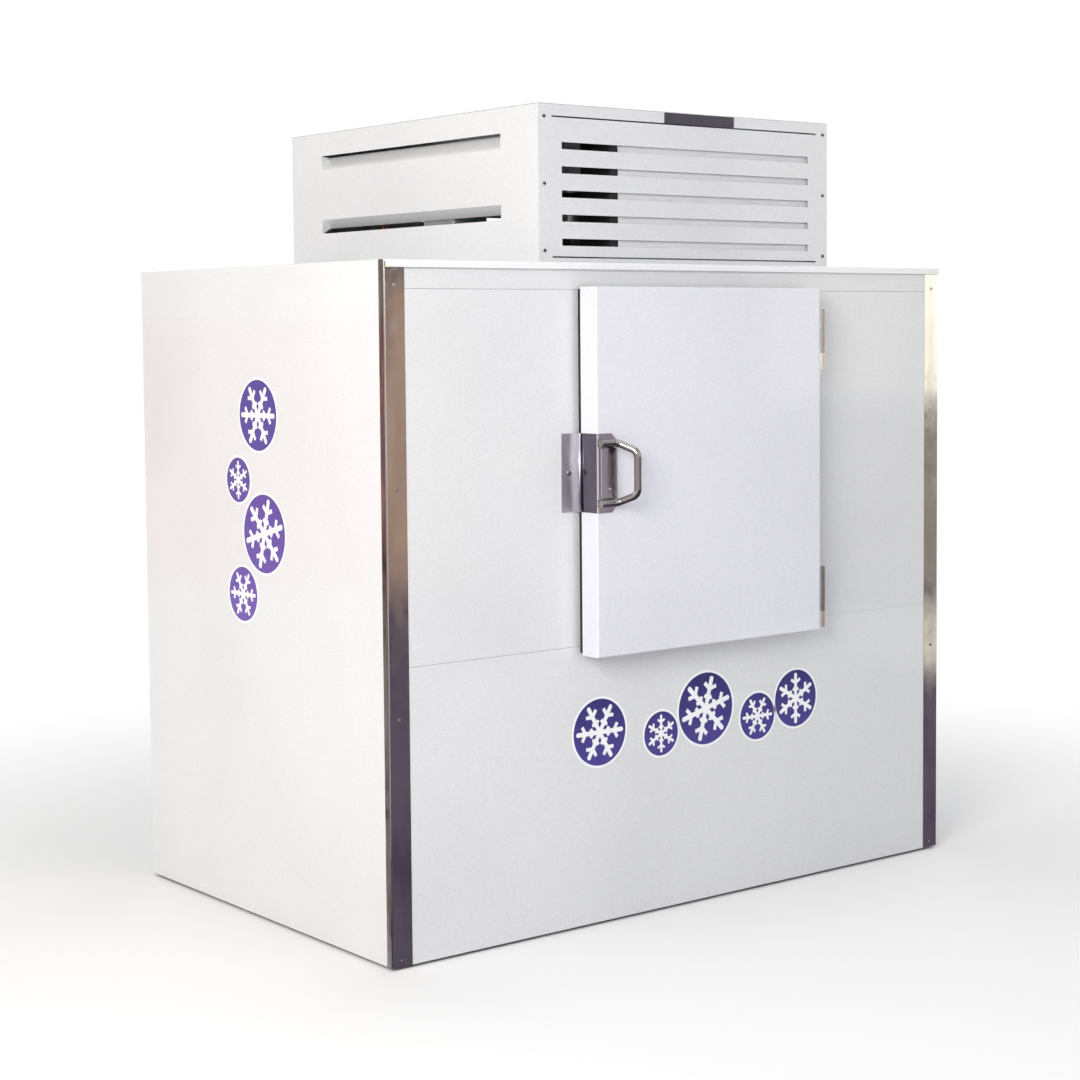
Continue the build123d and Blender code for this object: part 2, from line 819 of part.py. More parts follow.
def louvred_side(low_y, high_y):
    """Add the left side of the housing: a flanged sheet with two louvres pressed inwards."""
    inner_x = house_left + sheet
    tray(
        (house_left, low_y, body_height),
        (house_left + housing_flange, high_y, house_top - sheet),
        0, 1, sheet,
    )
    slot_start = low_y + side_slot_margin
    slot_end = high_y - side_slot_margin
    for slot_low, root_share, flap_gap in (
        (body_height + side_slot_low, 1.0, lower_flap_gap),
        (body_height + side_slot_high, 0.0, upper_flap_gap),
    ):
        slab(
            (house_left - overrun, slot_start, slot_low),
            (inner_x + sheet, slot_end, slot_low + side_slot_height),
            Mode.SUBTRACT,
        )
        root_z = slot_low + root_share * side_slot_height
        way = 1 - 2 * root_share
        tip_z = root_z + way * (side_slot_height - flap_gap)
        with BuildSketch(Plane.XZ.offset(-slot_end)) as outline:
            with BuildLine():
                Polyline(
                    (house_left, root_z - way * sheet),
                    (inner_x, root_z - way * sheet),
                    (inner_x + side_flap_lean + sheet, tip_z - way * sheet),
                    (inner_x + side_flap_lean, tip_z),
                    (house_left, root_z),
                    close=True,
                )
            make_face()
        extrude(outline.sketch, amount=slot_end - slot_start)
        for web_end in (slot_end, slot_start + sheet):
            with BuildSketch(Plane.XZ.offset(-web_end)) as outline:
                with BuildLine():
                    Polyline(
                        (house_left, root_z),
                        (inner_x + side_flap_lean, tip_z),
                        (inner_x, root_z + way * side_slot_height),
                        (house_left, root_z + way * side_slot_height),
                        close=True,
                    )
                make_face()
            extrude(outline.sketch, amount=sheet)


with BuildPart() as housing_left_panel:
    louvred_side(house_front + sheet, house_back - sheet)

with BuildPart() as housing_right_panel:
    mirror(housing_left_panel.part, about=Plane.YZ.offset(housing_shift))

with BuildPart() as housing_back_panel:
    slab((house_left, house_back - sheet, body_height), (house_right, house_back, house_top - sheet))
    for index in range(grille_slot_count):
        slot_low = body_height + grille_slot_low + index * grille_slot_pitch
        slab(
            (slot_left, house_back - 2 * sheet, slot_low),
            (
                slot_right,
                house_back + overrun,
                slot_low + grille_slot_height,
            ),
            Mode.SUBTRACT,
        )
    bar(
        (house_right - gland_inset, house_back - 2 * sheet, house_top - gland_rise), (0, 1, 0),
        gland_radius - sheet, 3 * sheet, Mode.SUBTRACT,
    )

with BuildPart() as housing_lid:
    slab((house_left, house_front, house_top - sheet), (house_right, house_back, house_top))

with BuildPart() as cabinet_screws:
    for x in (-side_x + post_front_flange / 2, side_x - post_front_flange / 2):
        for share in post_screw_shares:
            bar(
                (x, front_y, body_height * share), (0, -1, 0),
                post_screw_radius, post_screw_head,
            )
    screw_rise = housing_height - 2 * housing_screw_low
    for x in (house_left + housing_screw_edge, house_right - housing_screw_edge):
        for step in range(3):
            z = body_height + housing_screw_low + step * screw_rise / 2 - sheet
            bar((x, house_front, z), (0, -1, 0), housing_screw_radius, housing_screw_head)
            bar((x, house_back, z), (0, 1, 0), housing_screw_radius, housing_screw_head)

# Supply gland in the back of the housing
with BuildPart() as supply_gland:
    gland_x = house_right - gland_inset
    gland_z = house_top - gland_rise
    bar((gland_x, house_back, gland_z), (0, 1, 0), gland_radius, gland_nut)
    with BuildSketch(Plane(origin=(gland_x, house_back + gland_nut, gland_z), z_dir=(0, 1, 0))):
        Circle(gland_radius - sheet)
    extrude(amount=gland_length - gland_nut, taper=gland_nut)
    bar((gland_x, house_back - gland_nut, gland_z), (0, 1, 0), gland_radius - 2 * sheet, gland_nut)
    bar(
        (gland_x, house_back - gland_nut - overrun, gland_z), (0, 1, 0),
        gland_bore_radius, gland_length + gland_nut + 2 * overrun, Mode.SUBTRACT,
    )

# Condensing unit
with BuildPart() as unit_base:
    tray((unit_left, unit_front, body_height), (unit_right, unit_back, unit_top), 2, -1, unit_sheet)

with BuildPart() as condenser_coil:
    coil_top = unit_top + coil_height
    finned_coil(coil_left, coil_right, unit_front, coil_back, unit_top, coil_top)
    for x0, x1 in ((coil_left - end_plate, coil_left), (coil_right, coil_right + end_plate)):
        slab((x0, unit_front, unit_top), (x1, coil_back, coil_top))
    slab(
        (coil_right, unit_front, unit_top),
        (coil_right + air_seal, unit_front + end_plate, coil_top),
    )
    for z in (coil_top - line_margin, receiver_z):
        bar(
            (coil_right + end_plate, coil_mid_y + coil_depth / 4, z), (1, 0, 0),
            stub_radius, stub_length,
        )

with BuildPart() as fan_shroud:
    tray(
        (coil_left, coil_back, unit_top),
        (coil_right, shroud_back, coil_top),
        1, -1, shroud_sheet,
    )
    bar(
        (unit_shift, coil_back, fan_z), (0, 1, 0),
        fan_radius + fan_tip_gap, shroud_depth + overrun, Mode.SUBTRACT,
    )

condenser_blade = fan_blade(
    fan_hub_radius, fan_radius, blade_root_pitch_deg, blade_tip_pitch_deg
)
evaporator_blade = fan_blade(
    evap_hub_radius, evap_fan_radius, evap_blade_pitch_deg, evap_blade_pitch_deg
)

with BuildPart() as condenser_fan:
    fan_wheel(
        unit_shift, shroud_back, fan_z, condenser_blade,
        fan_hub_radius, fan_hub_length, shaft_length + motor_gap,
    )

with BuildPart() as condenser_fan_motor:
    with BuildSketch(Plane(origin=(unit_shift, motor_front, fan_z), z_dir=(0, 1, 0))):
        Circle(motor_radius)
    extrude(amount=motor_length)
    chamfer(edges().group_by(Axis.Y)[0] + edges().group_by(Axis.Y)[-1], motor_bell)
    slab(
        (unit_shift - motor_radius, motor_back, unit_top),
        (unit_shift + motor_radius, motor_back + bracket_sheet, fan_z + motor_radius),
    )
    slab(
        (unit_shift - motor_radius, motor_back + bracket_sheet, unit_top),
        (unit_shift + motor_radius, motor_back + bracket_foot, unit_top + bracket_sheet),
    )
    bar(
        (unit_shift, motor_front, fan_z), (0, 1, 0),
        shaft_radius + shaft_clearance, shaft_length + fit_gap, Mode.SUBTRACT,
    )

# Hermetic compressor: domed shell with a welded seam, on four rubber feet
with BuildPart() as compressor:
    dome = compressor_height * compressor_dome_share
    seam_z = compressor_height / 2
    bar((unit_shift, compressor_y, compressor_base), (0, 0, 1), compressor_radius, compressor_height)
    chamfer(edges().filter_by(GeomType.CIRCLE), dome / 2, dome)
    chamfer(edges().group_by(Axis.Z)[0] + edges().group_by(Axis.Z)[-1], dome / 4, dome / 2)
    bar(
        (unit_shift, compressor_y, compressor_base + seam_z), (0, 0, 1),
        compressor_radius + compressor_seam, compressor_seam_height,
    )
    slab(
        (
            unit_shift - compressor_radius,
            compressor_y - compressor_radius,
            compressor_base - foot_plate,
        ),
        (
            unit_shift + compressor_radius,
            compressor_y + compressor_radius,
            compressor_base,
        ),
    )
    slab(
        (
            unit_shift - terminal_box / 2,
            compressor_y + compressor_radius - terminal_box / 4,
            compressor_base + dome,
        ),
        (
            unit_shift + terminal_box / 2,
            compressor_y + compressor_radius + terminal_box / 2,
            compressor_base + seam_z - compressor_seam,
        ),
    )
    suction_z = compressor_base + compressor_height - suction_drop
    bar(
        (unit_shift - compressor_radius + stub_length, compressor_y, suction_z), (-1, 0, 0),
        stub_radius, 2 * stub_length,
    )
    discharge_x = unit_shift + compressor_radius / 2
    discharge_z = coil_top - line_margin
    bar(
        (discharge_x, compressor_y, compressor_base + seam_z), (0, 0, 1),
        stub_radius, compressor_height - seam_z,
    )

with BuildPart() as compressor_feet:
    foot_reach = compressor_radius - foot_radius
    for x in (unit_shift - foot_reach, unit_shift + foot_reach):
        for y in (compressor_y - foot_reach, compressor_y + foot_reach):
            bar((x, y, unit_top), (0, 0, 1), foot_radius, foot_height)

with BuildPart() as receiver:
    receiver_left = unit_shift - receiver_length / 2
    with BuildSketch(Plane(origin=(receiver_left, receiver_y, receiver_z), z_dir=(1, 0, 0))):
        Circle(receiver_radius)
    extrude(amount=receiver_length)
    chamfer(edges().group_by(Axis.X)[0] + edges().group_by(Axis.X)[-1], receiver_radius / 4)
    saddle_reach = receiver_radius * saddle_reach_share
    saddle_spread = receiver_length * saddle_spread_share
    for x in (unit_shift - saddle_spread / 2, unit_shift + saddle_spread / 2):
        slab(
            (x - saddle_width / 2, receiver_y - saddle_reach, unit_top),
            (x + saddle_width / 2, receiver_y + saddle_reach, receiver_z - receiver_radius / 2),
        )
    for x, way in ((receiver_left, -1), (receiver_left + receiver_length, 1)):
        bar(
            (x - way * stub_length, receiver_y, receiver_z), (way, 0, 0),
            stub_radius, 2 * stub_length,
        )

with BuildPart() as filter_drier:
    drier_right = receiver_left - stub_length
    drier_start = (drier_right, receiver_y, receiver_z)
    with BuildSketch(Plane(origin=drier_start, x_dir=(-1, 0, 0), z_dir=(0, -1, 0))):
        with BuildLine():
            Polyline(
                (0, 0),
                (0, stub_radius),
                (drier_taper, drier_radius),
                (drier_length - drier_taper, drier_radius),
                (drier_length, stub_radius),
                (drier_length, 0),
                close=True,
            )
        make_face()
    revolve(axis=Axis(drier_start, (1, 0, 0)))

with BuildPart() as suction_line:
    suction_turn = receiver_left - stub_length - drier_length / 2
    bent_tube(
        (
            (unit_shift - compressor_radius - stub_length, compressor_y, suction_z),
            (suction_turn, compressor_y, suction_z),
            (suction_turn, suction_y, suction_z),
            (suction_x, suction_y, suction_z),
            (suction_x, suction_y, evap_stub_top),
        ),
        line_radius, line_bend,
    )

with BuildPart() as liquid_line:
    bent_tube(
        (
            (drier_right - drier_length, receiver_y, receiver_z),
            (liquid_x, receiver_y, receiver_z),
            (liquid_x, liquid_y, receiver_z),
            (liquid_x, liquid_y, evap_stub_top),
        ),
        line_radius, line_bend,
    )

header_x = coil_right + end_plate + stub_length
header_y = coil_mid_y + coil_depth / 4
riser_x = header_x + line_bend + line_radius

with BuildPart() as discharge_line:
    bent_tube(
        (
            (discharge_x, compressor_y, compressor_base + compressor_height),
            (discharge_x, compressor_y, discharge_z),
            (riser_x, compressor_y, discharge_z),
            (riser_x, header_y, discharge_z),
            (header_x, header_y, discharge_z),
        ),
        line_radius, line_bend,
    )

with BuildPart() as condensate_line:
    bent_tube(
        (
            (header_x, header_y, receiver_z),
            (riser_x, header_y, receiver_z),
            (riser_x, receiver_y, receiver_z),
            (receiver_left + receiver_length + stub_length, receiver_y, receiver_z),
        ),
        line_radius, line_bend,
    )

# Electrical box with the thermostat on its front
with BuildPart() as electrical_box:
    slab(
        (box_left, box_front, body_height),
        (box_left + box_width, box_front + box_depth, body_height + box_height),
    )
    chamfer(edges().filter_by(Axis.Z), thermostat_depth / 4)
    slab(
        (
            thermostat_x - thermostat_size / 2,
            box_front - thermostat_depth,
            thermostat_z - thermostat_size / 2,
        ),
        (
            thermostat_x + thermostat_size / 2,
            box_front,
            thermostat_z + thermostat_size / 2,
        ),
    )
    bar(
        (thermostat_x, box_front - thermostat_depth, thermostat_z), (0, 1, 0),
        knob_shaft_radius + knob_shaft_clearance, knob_shaft_length + fit_gap, Mode.SUBTRACT,
    )

with BuildPart() as thermostat_knob:
    knob_back = box_front - thermostat_depth - fit_gap
    bar((thermostat_x, knob_back, thermostat_z), (0, -1, 0), knob_radius, knob_skirt)
    bar(
        (thermostat_x, knob_back - knob_skirt, thermostat_z), (0, -1, 0),
        knob_radius - knob_skirt, knob_height - knob_skirt,
    )
    slab(
        (thermostat_x - knob_grip_width / 2, knob_back - knob_height, thermostat_z),
        (thermostat_x + knob_grip_width / 2, knob_back - knob_skirt, thermostat_z + knob_radius),
    )
    bar((thermostat_x, knob_back, thermostat_z), (0, 1, 0), knob_shaft_radius, knob_shaft_length)

# Evaporator unit
with BuildPart() as evaporator_housing:
    tray(
        (-evap_width / 2, evap_front, evap_shell_low),
        (evap_width / 2, evap_back, evap_top),
        2, -1, evap_sheet,
    )
    for x in evap_fan_places:
        bar(
            (x, evap_front - overrun, evap_fan_z), (0, 1, 0),
            evap_fan_radius + fan_tip_gap, 2 * overrun, Mode.SUBTRACT,
        )
    return_x = evap_width / 2 - evap_return_margin
    slab(
        (-return_x, evap_back - 2 * evap_sheet, evap_shell_low + evap_return_margin),
        (return_x, evap_back + overrun, evap_top - evap_return_margin),
        Mode.SUBTRACT,
    )
    for x, y in ((suction_x, suction_y), (liquid_x, liquid_y)):
        bar(
            (x, y, evap_top - overrun), (0, 0, 1),
            line_radius + pipe_clearance, 2 * overrun, Mode.SUBTRACT,
        )

with BuildPart() as evaporator_coil:
    finned_coil(
        -evap_coil_x, evap_coil_x,
        evap_coil_front, evap_coil_back, evap_coil_low, evap_coil_top,
    )
    for x, y in ((suction_x, suction_y), (liquid_x, liquid_y)):
        bar((x, y, evap_coil_top), (0, 0, 1), stub_radius, stub_length)

with BuildPart() as evaporator_motors:
    for x in evap_fan_places:
        bar((x, evap_motor_front, evap_fan_z), (0, 1, 0), evap_motor_radius, evap_motor_length)
        slab(
            (x - evap_motor_radius / 2, evap_motor_back, evap_low + evap_sheet),
            (x + evap_motor_radius / 2, evap_motor_back + bracket_sheet, evap_top - evap_sheet),
        )
        bar(
            (x, evap_motor_front, evap_fan_z), (0, 1, 0),
            shaft_radius + shaft_clearance, evap_shaft_length, Mode.SUBTRACT,
        )

with BuildPart() as evaporator_fan_left:
    fan_wheel(
        evap_fan_places[0], evap_fan_y, evap_fan_z, evaporator_blade,
        evap_hub_radius, evap_hub_length, evap_shaft_length,
    )

with BuildPart() as evaporator_fan_right:
    fan_wheel(
        evap_fan_places[1], evap_fan_y, evap_fan_z, evaporator_blade,
        evap_hub_radius, evap_hub_length, evap_shaft_length,
    )

with BuildPart() as drain_pan:
    tray(
        (-evap_width / 2, evap_front, evap_low),
        (evap_width / 2, evap_back, evap_shell_low),
        2, 1, evap_sheet,
    )
    bar(
        (drain_x, drain_y, evap_low - evap_sheet), (0, 0, 1),
        drain_radius - drain_wall, 3 * evap_sheet, Mode.SUBTRACT,
    )

with BuildPart() as drain_tube:
    liner_floor = inside_floor + liner_sheet
    drain_outlet = skid_height - pan_flange
    bar((drain_x, drain_y, drain_outlet), (0, 0, 1), drain_radius, evap_low - drain_outlet)
    bar((drain_x, drain_y, liner_floor), (0, 0, 1), floor_drain_flange, floor_drain_rim)
    bar(
        (drain_x, drain_y, drain_outlet), (0, 0, 1),
        drain_radius - drain_wall, evap_low - drain_outlet, Mode.SUBTRACT,
    )

pieces = {
    "base_skids": base_skids,
    "base_pan": base_pan,
    "floor_insulation": floor_insulation,
    "ceiling_insulation": ceiling_insulation,
    "left_insulation": left_insulation,
    "right_insulation": right_insulation,
    "back_insulation": back_insulation,
    "front_insulation": front_insulation,
    "inner_liner": inner_liner,
    "left_side_panel": left_side_panel,
    "right_side_panel": right_side_panel,
    "back_panel": back_panel,
    "lower_front_panel": lower_front_panel,
    "left_front_panel": left_front_panel,
    "right_front_panel": right_front_panel,
    "header_panel": header_panel,
    "left_corner_post": left_corner_post,
    "right_corner_post": right_corner_post,
    "top_cover": top_cover,
    "door_breaker_frame": door_breaker_frame,
    "floor_rack": floor_rack,
    "door_shell": door_shell,
    "door_insulation": door_insulation,
    "door_liner": door_liner,
    "door_gasket": door_gasket,
    "hinge_brackets": hinge_brackets,
    "hinge_pins": hinge_pins,
    "hinge_door_leaves": hinge_door_leaves,
    "latch_bracket": latch_bracket,
    "door_pull": door_pull,
    "strike_plate": strike_plate,
    "grille_panel": grille_panel,
    "housing_left_panel": housing_left_panel,
    "housing_right_panel": housing_right_panel,
    "housing_back_panel": housing_back_panel,
    "housing_lid": housing_lid,
    "cabinet_screws": cabinet_screws,
    "supply_gland": supply_gland,
    "unit_base": unit_base,
    "condenser_coil": condenser_coil,
    "fan_shroud": fan_shroud,
    "condenser_fan": condenser_fan,
    "condenser_fan_motor": condenser_fan_motor,
    "compressor": compressor,
    "compressor_feet": compressor_feet,
    "receiver": receiver,
    "filter_drier": filter_drier,
    "suction_line": suction_line,
    "liquid_line": liquid_line,
    "discharge_line": discharge_line,
    "condensate_line": condensate_line,
    "electrical_box": electrical_box,
    "thermostat_knob": thermostat_knob,
    "evaporator_housing": evaporator_housing,
    "evaporator_coil": evaporator_coil,
    "evaporator_motors": evaporator_motors,
    "evaporator_fan_left": evaporator_fan_left,
    "evaporator_fan_right": evaporator_fan_right,
    "drain_pan": drain_pan,
    "drain_tube": drain_tube,
}
for name, piece in pieces.items():
    piece.part.label = name
    export_step(piece.part, "parts/" + name + ".step")
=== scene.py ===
import json
import math

import bmesh
import bpy
from mathutils import Matrix, Vector


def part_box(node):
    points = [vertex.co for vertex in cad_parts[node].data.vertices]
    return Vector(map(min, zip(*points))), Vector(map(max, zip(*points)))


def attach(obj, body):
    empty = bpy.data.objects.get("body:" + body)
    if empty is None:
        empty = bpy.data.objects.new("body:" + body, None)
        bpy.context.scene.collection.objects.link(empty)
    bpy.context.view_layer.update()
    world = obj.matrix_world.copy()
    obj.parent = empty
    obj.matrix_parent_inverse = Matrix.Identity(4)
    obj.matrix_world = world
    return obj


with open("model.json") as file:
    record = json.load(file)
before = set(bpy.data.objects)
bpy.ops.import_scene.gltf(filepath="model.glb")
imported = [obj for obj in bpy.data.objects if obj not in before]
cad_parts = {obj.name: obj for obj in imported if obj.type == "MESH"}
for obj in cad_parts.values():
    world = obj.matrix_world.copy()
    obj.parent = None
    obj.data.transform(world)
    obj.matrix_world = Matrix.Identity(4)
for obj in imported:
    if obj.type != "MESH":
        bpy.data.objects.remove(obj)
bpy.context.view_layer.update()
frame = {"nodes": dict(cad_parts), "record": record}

MM = 0.001

# Where the photograph was taken from, in metres, and how the camera is turned, in degrees
CAMERA_PLACE = (-2.9947, -3.7871, 1.2070)
CAMERA_YAW = 38.09
CAMERA_PITCH = 3.72
CAMERA_ROLL = -0.49
CAMERA_LENS = 71.6
CAMERA_SENSOR = 36
CAMERA_SHIFT = -0.0648

# Width of the band along the latch plate's fold that carries a painted highlight
FOLD_HIGHLIGHT = 5 * MM

# Thickness of the corner posts' sheet, how far behind the grille's face its hems start, which are
# painted darker as shade, and how far behind the rim's front the cover's flat starts, darker than
# the rim with its painted highlight
POST_SHEET = 1 * MM
HEM_START = 1 * MM
RIM_DEPTH = 12 * MM

# Spacing of the coils' drawn ribs, and of a wave texture's bands at a scale of 1
RIB_PITCH = 3 * MM
BAND_PITCH = 2 * math.pi / 20

# Values between which most of a noise texture lies
NOISE_LOW = 0.3
NOISE_HIGH = 0.7


def to_linear(hex_colour):
    """Turn an sRGB hex colour into linear red, green, blue and alpha."""
    channels = [int(hex_colour[i:i + 2], 16) / 255 for i in (1, 3, 5)]
    linear = [c / 12.92 if c <= 0.04045 else ((c + 0.055) / 1.055) ** 2.4 for c in channels]
    return (*linear, 1.0)


def add_node(tree, kind, sockets=None, **settings):
    """Add a node with its settings; a socket is given a value or another node's output."""
    made = tree.nodes.new(kind)
    for name, value in settings.items():
        setattr(made, name, value)
    for socket, value in (sockets or {}).items():
        if isinstance(value, bpy.types.NodeSocket):
            tree.links.new(value, made.inputs[socket])
        else:
            made.inputs[socket].default_value = value
    return made


def live_output(made):
    """The output in use on a node that keeps one for each kind of value."""
    return next(socket for socket in made.outputs if socket.enabled)


def set_stops(ramp, stops):
    """Give a colour ramp its stops, in rising order: places from 0 to 1 and hex colours."""
    elements = ramp.color_ramp.elements
    for index, (spot, colour) in enumerate(stops):
        if index < 2:
            elements[index].position = spot
        else:
            elements.new(spot)
        elements[index].color = to_linear(colour)


def cleared_tree(holder):
    """Turn on the nodes of a material or a world and return its empty tree."""
    holder.use_nodes = True
    holder.node_tree.nodes.clear()
    return holder.node_tree


def blank_material(name, values=None):
    """Start a material: its tree, its place on the object in metres, and its shader."""
    material = bpy.data.materials.new(name)
    tree = cleared_tree(material)
    place = add_node(tree, "ShaderNodeTexCoord").outputs["Object"]
    shader = add_node(tree, "ShaderNodeBsdfPrincipled", values)
    add_node(tree, "ShaderNodeOutputMaterial", {"Surface": shader.outputs["BSDF"]})
    return material, tree, place, shader


def material_parts(material):
    """The tree, place on the object, shader and base colour of a material already made."""
    tree = material.node_tree
    place = next(node for node in tree.nodes if node.type == "TEX_COORD").outputs["Object"]
    shader = next(node for node in tree.nodes if node.type == "BSDF_PRINCIPLED")
    return tree, place, shader, shader.inputs["Base Color"].links[0].from_socket


def mottle(tree, place, size_mm, detail, stretch=(1, 1, 1)):
    """Noise with spots about size_mm across, stretched along an axis by its number."""
    scaled = add_node(
        tree, "ShaderNodeMapping", {"Vector": place, "Scale": [1 / s for s in stretch]}
    )
    noise = add_node(
        tree, "ShaderNodeTexNoise",
        {"Vector": scaled.outputs["Vector"], "Scale": 1000 / size_mm, "Detail": detail},
    )
    return noise.outputs["Fac"]


def patches(tree, place, size_mm, colours, detail=4.0, stretch=(1, 1, 1)):
    """Soft patches of colour about size_mm across."""
    spots = mottle(tree, place, size_mm, detail, stretch)
    ramp = add_node(tree, "ShaderNodeValToRGB", {"Fac": spots})
    step = (NOISE_HIGH - NOISE_LOW) / (len(colours) - 1)
    set_stops(ramp, [(NOISE_LOW + step * i, colour) for i, colour in enumerate(colours)])
    return ramp.outputs["Color"]


def grain(tree, place, size_mm, depth_mm, strength=0.5, stretch=(1, 1, 1), normal=None):
    """A bump of grains about size_mm across and depth_mm high, laid over another bump."""
    sockets = {
        "Height": mottle(tree, place, size_mm, 3.0, stretch),
        "Distance": depth_mm * MM, "Strength": strength,
    }
    if normal is not None:
        sockets["Normal"] = normal
    return add_node(tree, "ShaderNodeBump", sockets).outputs["Normal"]


def uneven(tree, place, size_mm, low, high):
    """A value that wanders between low and high over patches about size_mm across."""
    wander = add_node(
        tree, "ShaderNodeMapRange",
        {"Value": mottle(tree, place, size_mm, 3.0), "From Min": NOISE_LOW,
         "From Max": NOISE_HIGH, "To Min": low, "To Max": high},
    )
    return wander.outputs["Result"]


def white_enamel(name, tones):
    """Baked polyester enamel on sheet steel: a clean white with a faint orange peel."""
    material, tree, place, shader = blank_material(
        name, {"Coat Weight": 0.6, "Coat Roughness": 0.06}
    )
    broad = patches(tree, place, 520, tones, detail=2.0)
    fine = patches(tree, place, 5, ("#F8F8F9", "#FFFFFF"), detail=1.0)
    mixed = add_node(
        tree, "ShaderNodeMix", {"Factor": 1.0, "A": broad, "B": fine},
        data_type="RGBA", blend_type="MULTIPLY",
    )
    tree.links.new(live_output(mixed), shader.inputs["Base Color"])
    tree.links.new(uneven(tree, place, 90, 0.3, 0.4), shader.inputs["Roughness"])
    waves = grain(tree, place, 420, 1.6, 0.25)
    tree.links.new(grain(tree, place, 3.5, 0.05, 0.25, normal=waves), shader.inputs["Normal"])
    return material


def galvanised_steel():
    """Hot-dip galvanised sheet: grey crystals about 12 mm across, dull and slightly uneven."""
    material, tree, place, shader = blank_material("galvanised_steel", {"Metallic": 0.85})
    spangle = add_node(tree, "ShaderNodeTexVoronoi", {"Vector": place, "Scale": 1000 / 12})
    ramp = add_node(tree, "ShaderNodeValToRGB", {"Fac": spangle.outputs["Color"]})
    set_stops(ramp, ((0, "#9EA2A6"), (1, "#BEC2C5")))
    tree.links.new(ramp.outputs["Color"], shader.inputs["Base Color"])
    tree.links.new(uneven(tree, place, 14, 0.38, 0.55), shader.inputs["Roughness"])
    return material


def stainless_steel(name, tones, rough_low=0.06, rough_high=0.16):
    """Bright-annealed stainless steel: nearly a mirror, with slow ripples and a faint grain.

    The grain is drawn 0.9 mm wide, coarser than the real one, which would be too fine to show.
    """
    material, tree, place, shader = blank_material(name, {"Metallic": 1.0})
    tone = patches(tree, place, 60, tones, detail=3.0, stretch=(1, 1, 6))
    tree.links.new(tone, shader.inputs["Base Color"])
    tree.links.new(uneven(tree, place, 30, rough_low, rough_high), shader.inputs["Roughness"])
    ripples = grain(tree, place, 110, 2.2, 0.5, stretch=(1, 1, 3))
    brushed = grain(tree, place, 0.9, 0.02, 0.2, stretch=(1, 1, 60), normal=ripples)
    tree.links.new(brushed, shader.inputs["Normal"])
    return material


def folded_stainless(name, tones, fold_x):
    """Stainless plate folded at fold_x: painted shade darkens its side leg, and a painted
    highlight runs along the fold.
    """
    material = stainless_steel(name, tones, 0.1, 0.2)
    tree, place, shader, tone = material_parts(material)
    across = add_node(tree, "ShaderNodeSeparateXYZ", {"Vector": place}).outputs["X"]
    run = add_node(
        tree, "ShaderNodeMapRange",
        {"Value": across, "From Min": fold_x, "From Max": fold_x + FOLD_HIGHLIGHT},
    )
    # Painted shade: the side leg, up to the fold, is tinted darker
    side_leg_shade_ramp = add_node(tree, "ShaderNodeValToRGB", {"Fac": run.outputs["Result"]})
    set_stops(side_leg_shade_ramp, ((0, "#ACA9B3"), (0.06, "#ACA9B3"), (0.1, "#FFFFFF"), (1, "#FFFFFF")))
    mixed = add_node(
        tree, "ShaderNodeMix", {"Factor": 1.0, "A": tone, "B": side_leg_shade_ramp.outputs["Color"]},
        data_type="RGBA", blend_type="MULTIPLY",
    )
    # Painted highlight: a near-white band along the fold
    fold_highlight_ramp = add_node(tree, "ShaderNodeValToRGB", {"Fac": run.outputs["Result"]})
    set_stops(fold_highlight_ramp, (
        (0, "#000000"), (0.05, "#000000"), (0.1, "#FFFFFF"),
        (0.7, "#FFFFFF"), (0.95, "#000000"), (1, "#000000"),
    ))
    fold_highlighted = add_node(
        tree, "ShaderNodeMix",
        {"Factor": fold_highlight_ramp.outputs["Color"], "A": live_output(mixed), "B": to_linear("#F4F1F3")},
        data_type="RGBA",
    )
    tree.links.new(live_output(fold_highlighted), shader.inputs["Base Color"])
    return material


def foam():
    """Rigid polyurethane foam: straw yellow, matt, with open cells on its cut face."""
    material, tree, place, shader = blank_material("polyurethane_foam", {"Roughness": 0.95})
    tree.links.new(patches(tree, place, 25, ("#D9C58A", "#E6D6A3")), shader.inputs["Base Color"])
    tree.links.new(grain(tree, place, 1.5, 0.4), shader.inputs["Normal"])
    return material


def liner_aluminium():
    """Stucco-embossed aluminium liner: bright, pebbled about every 6 mm."""
    material, tree, place, shader = blank_material("aluminium_stucco", {"Metallic": 0.7})
    tone = patches(tree, place, 80, ("#D3D6D8", "#DFE1E3"))
    tree.links.new(tone, shader.inputs["Base Color"])
    tree.links.new(uneven(tree, place, 40, 0.3, 0.42), shader.inputs["Roughness"])
    tree.links.new(grain(tree, place, 6, 0.5, 0.6), shader.inputs["Normal"])
    return material


def moulded_plastic(name, colours, rough_low, rough_high, grain_mm=1.2, depth_mm=0.05):
    """Moulded or extruded plastic or rubber: even colour with a faint mould grain.

    The grain is drawn coarser than the real one, so that it shows.
    """
    material, tree, place, shader = blank_material(name)
    tree.links.new(patches(tree, place, 35, colours), shader.inputs["Base Color"])
    tree.links.new(uneven(tree, place, 22, rough_low, rough_high), shader.inputs["Roughness"])
    tree.links.new(grain(tree, place, grain_mm, depth_mm, 0.4), shader.inputs["Normal"])
    return material


def painted_sheet(name, colours, rough_low, rough_high, metallic=0.0):
    """Painted or coated sheet metal: an even colour with a fine peel."""
    material, tree, place, shader = blank_material(name, {"Metallic": metallic})
    tree.links.new(patches(tree, place, 45, colours), shader.inputs["Base Color"])
    tree.links.new(uneven(tree, place, 30, rough_low, rough_high), shader.inputs["Roughness"])
    tree.links.new(grain(tree, place, 2.2, 0.06, 0.4), shader.inputs["Normal"])
    return material


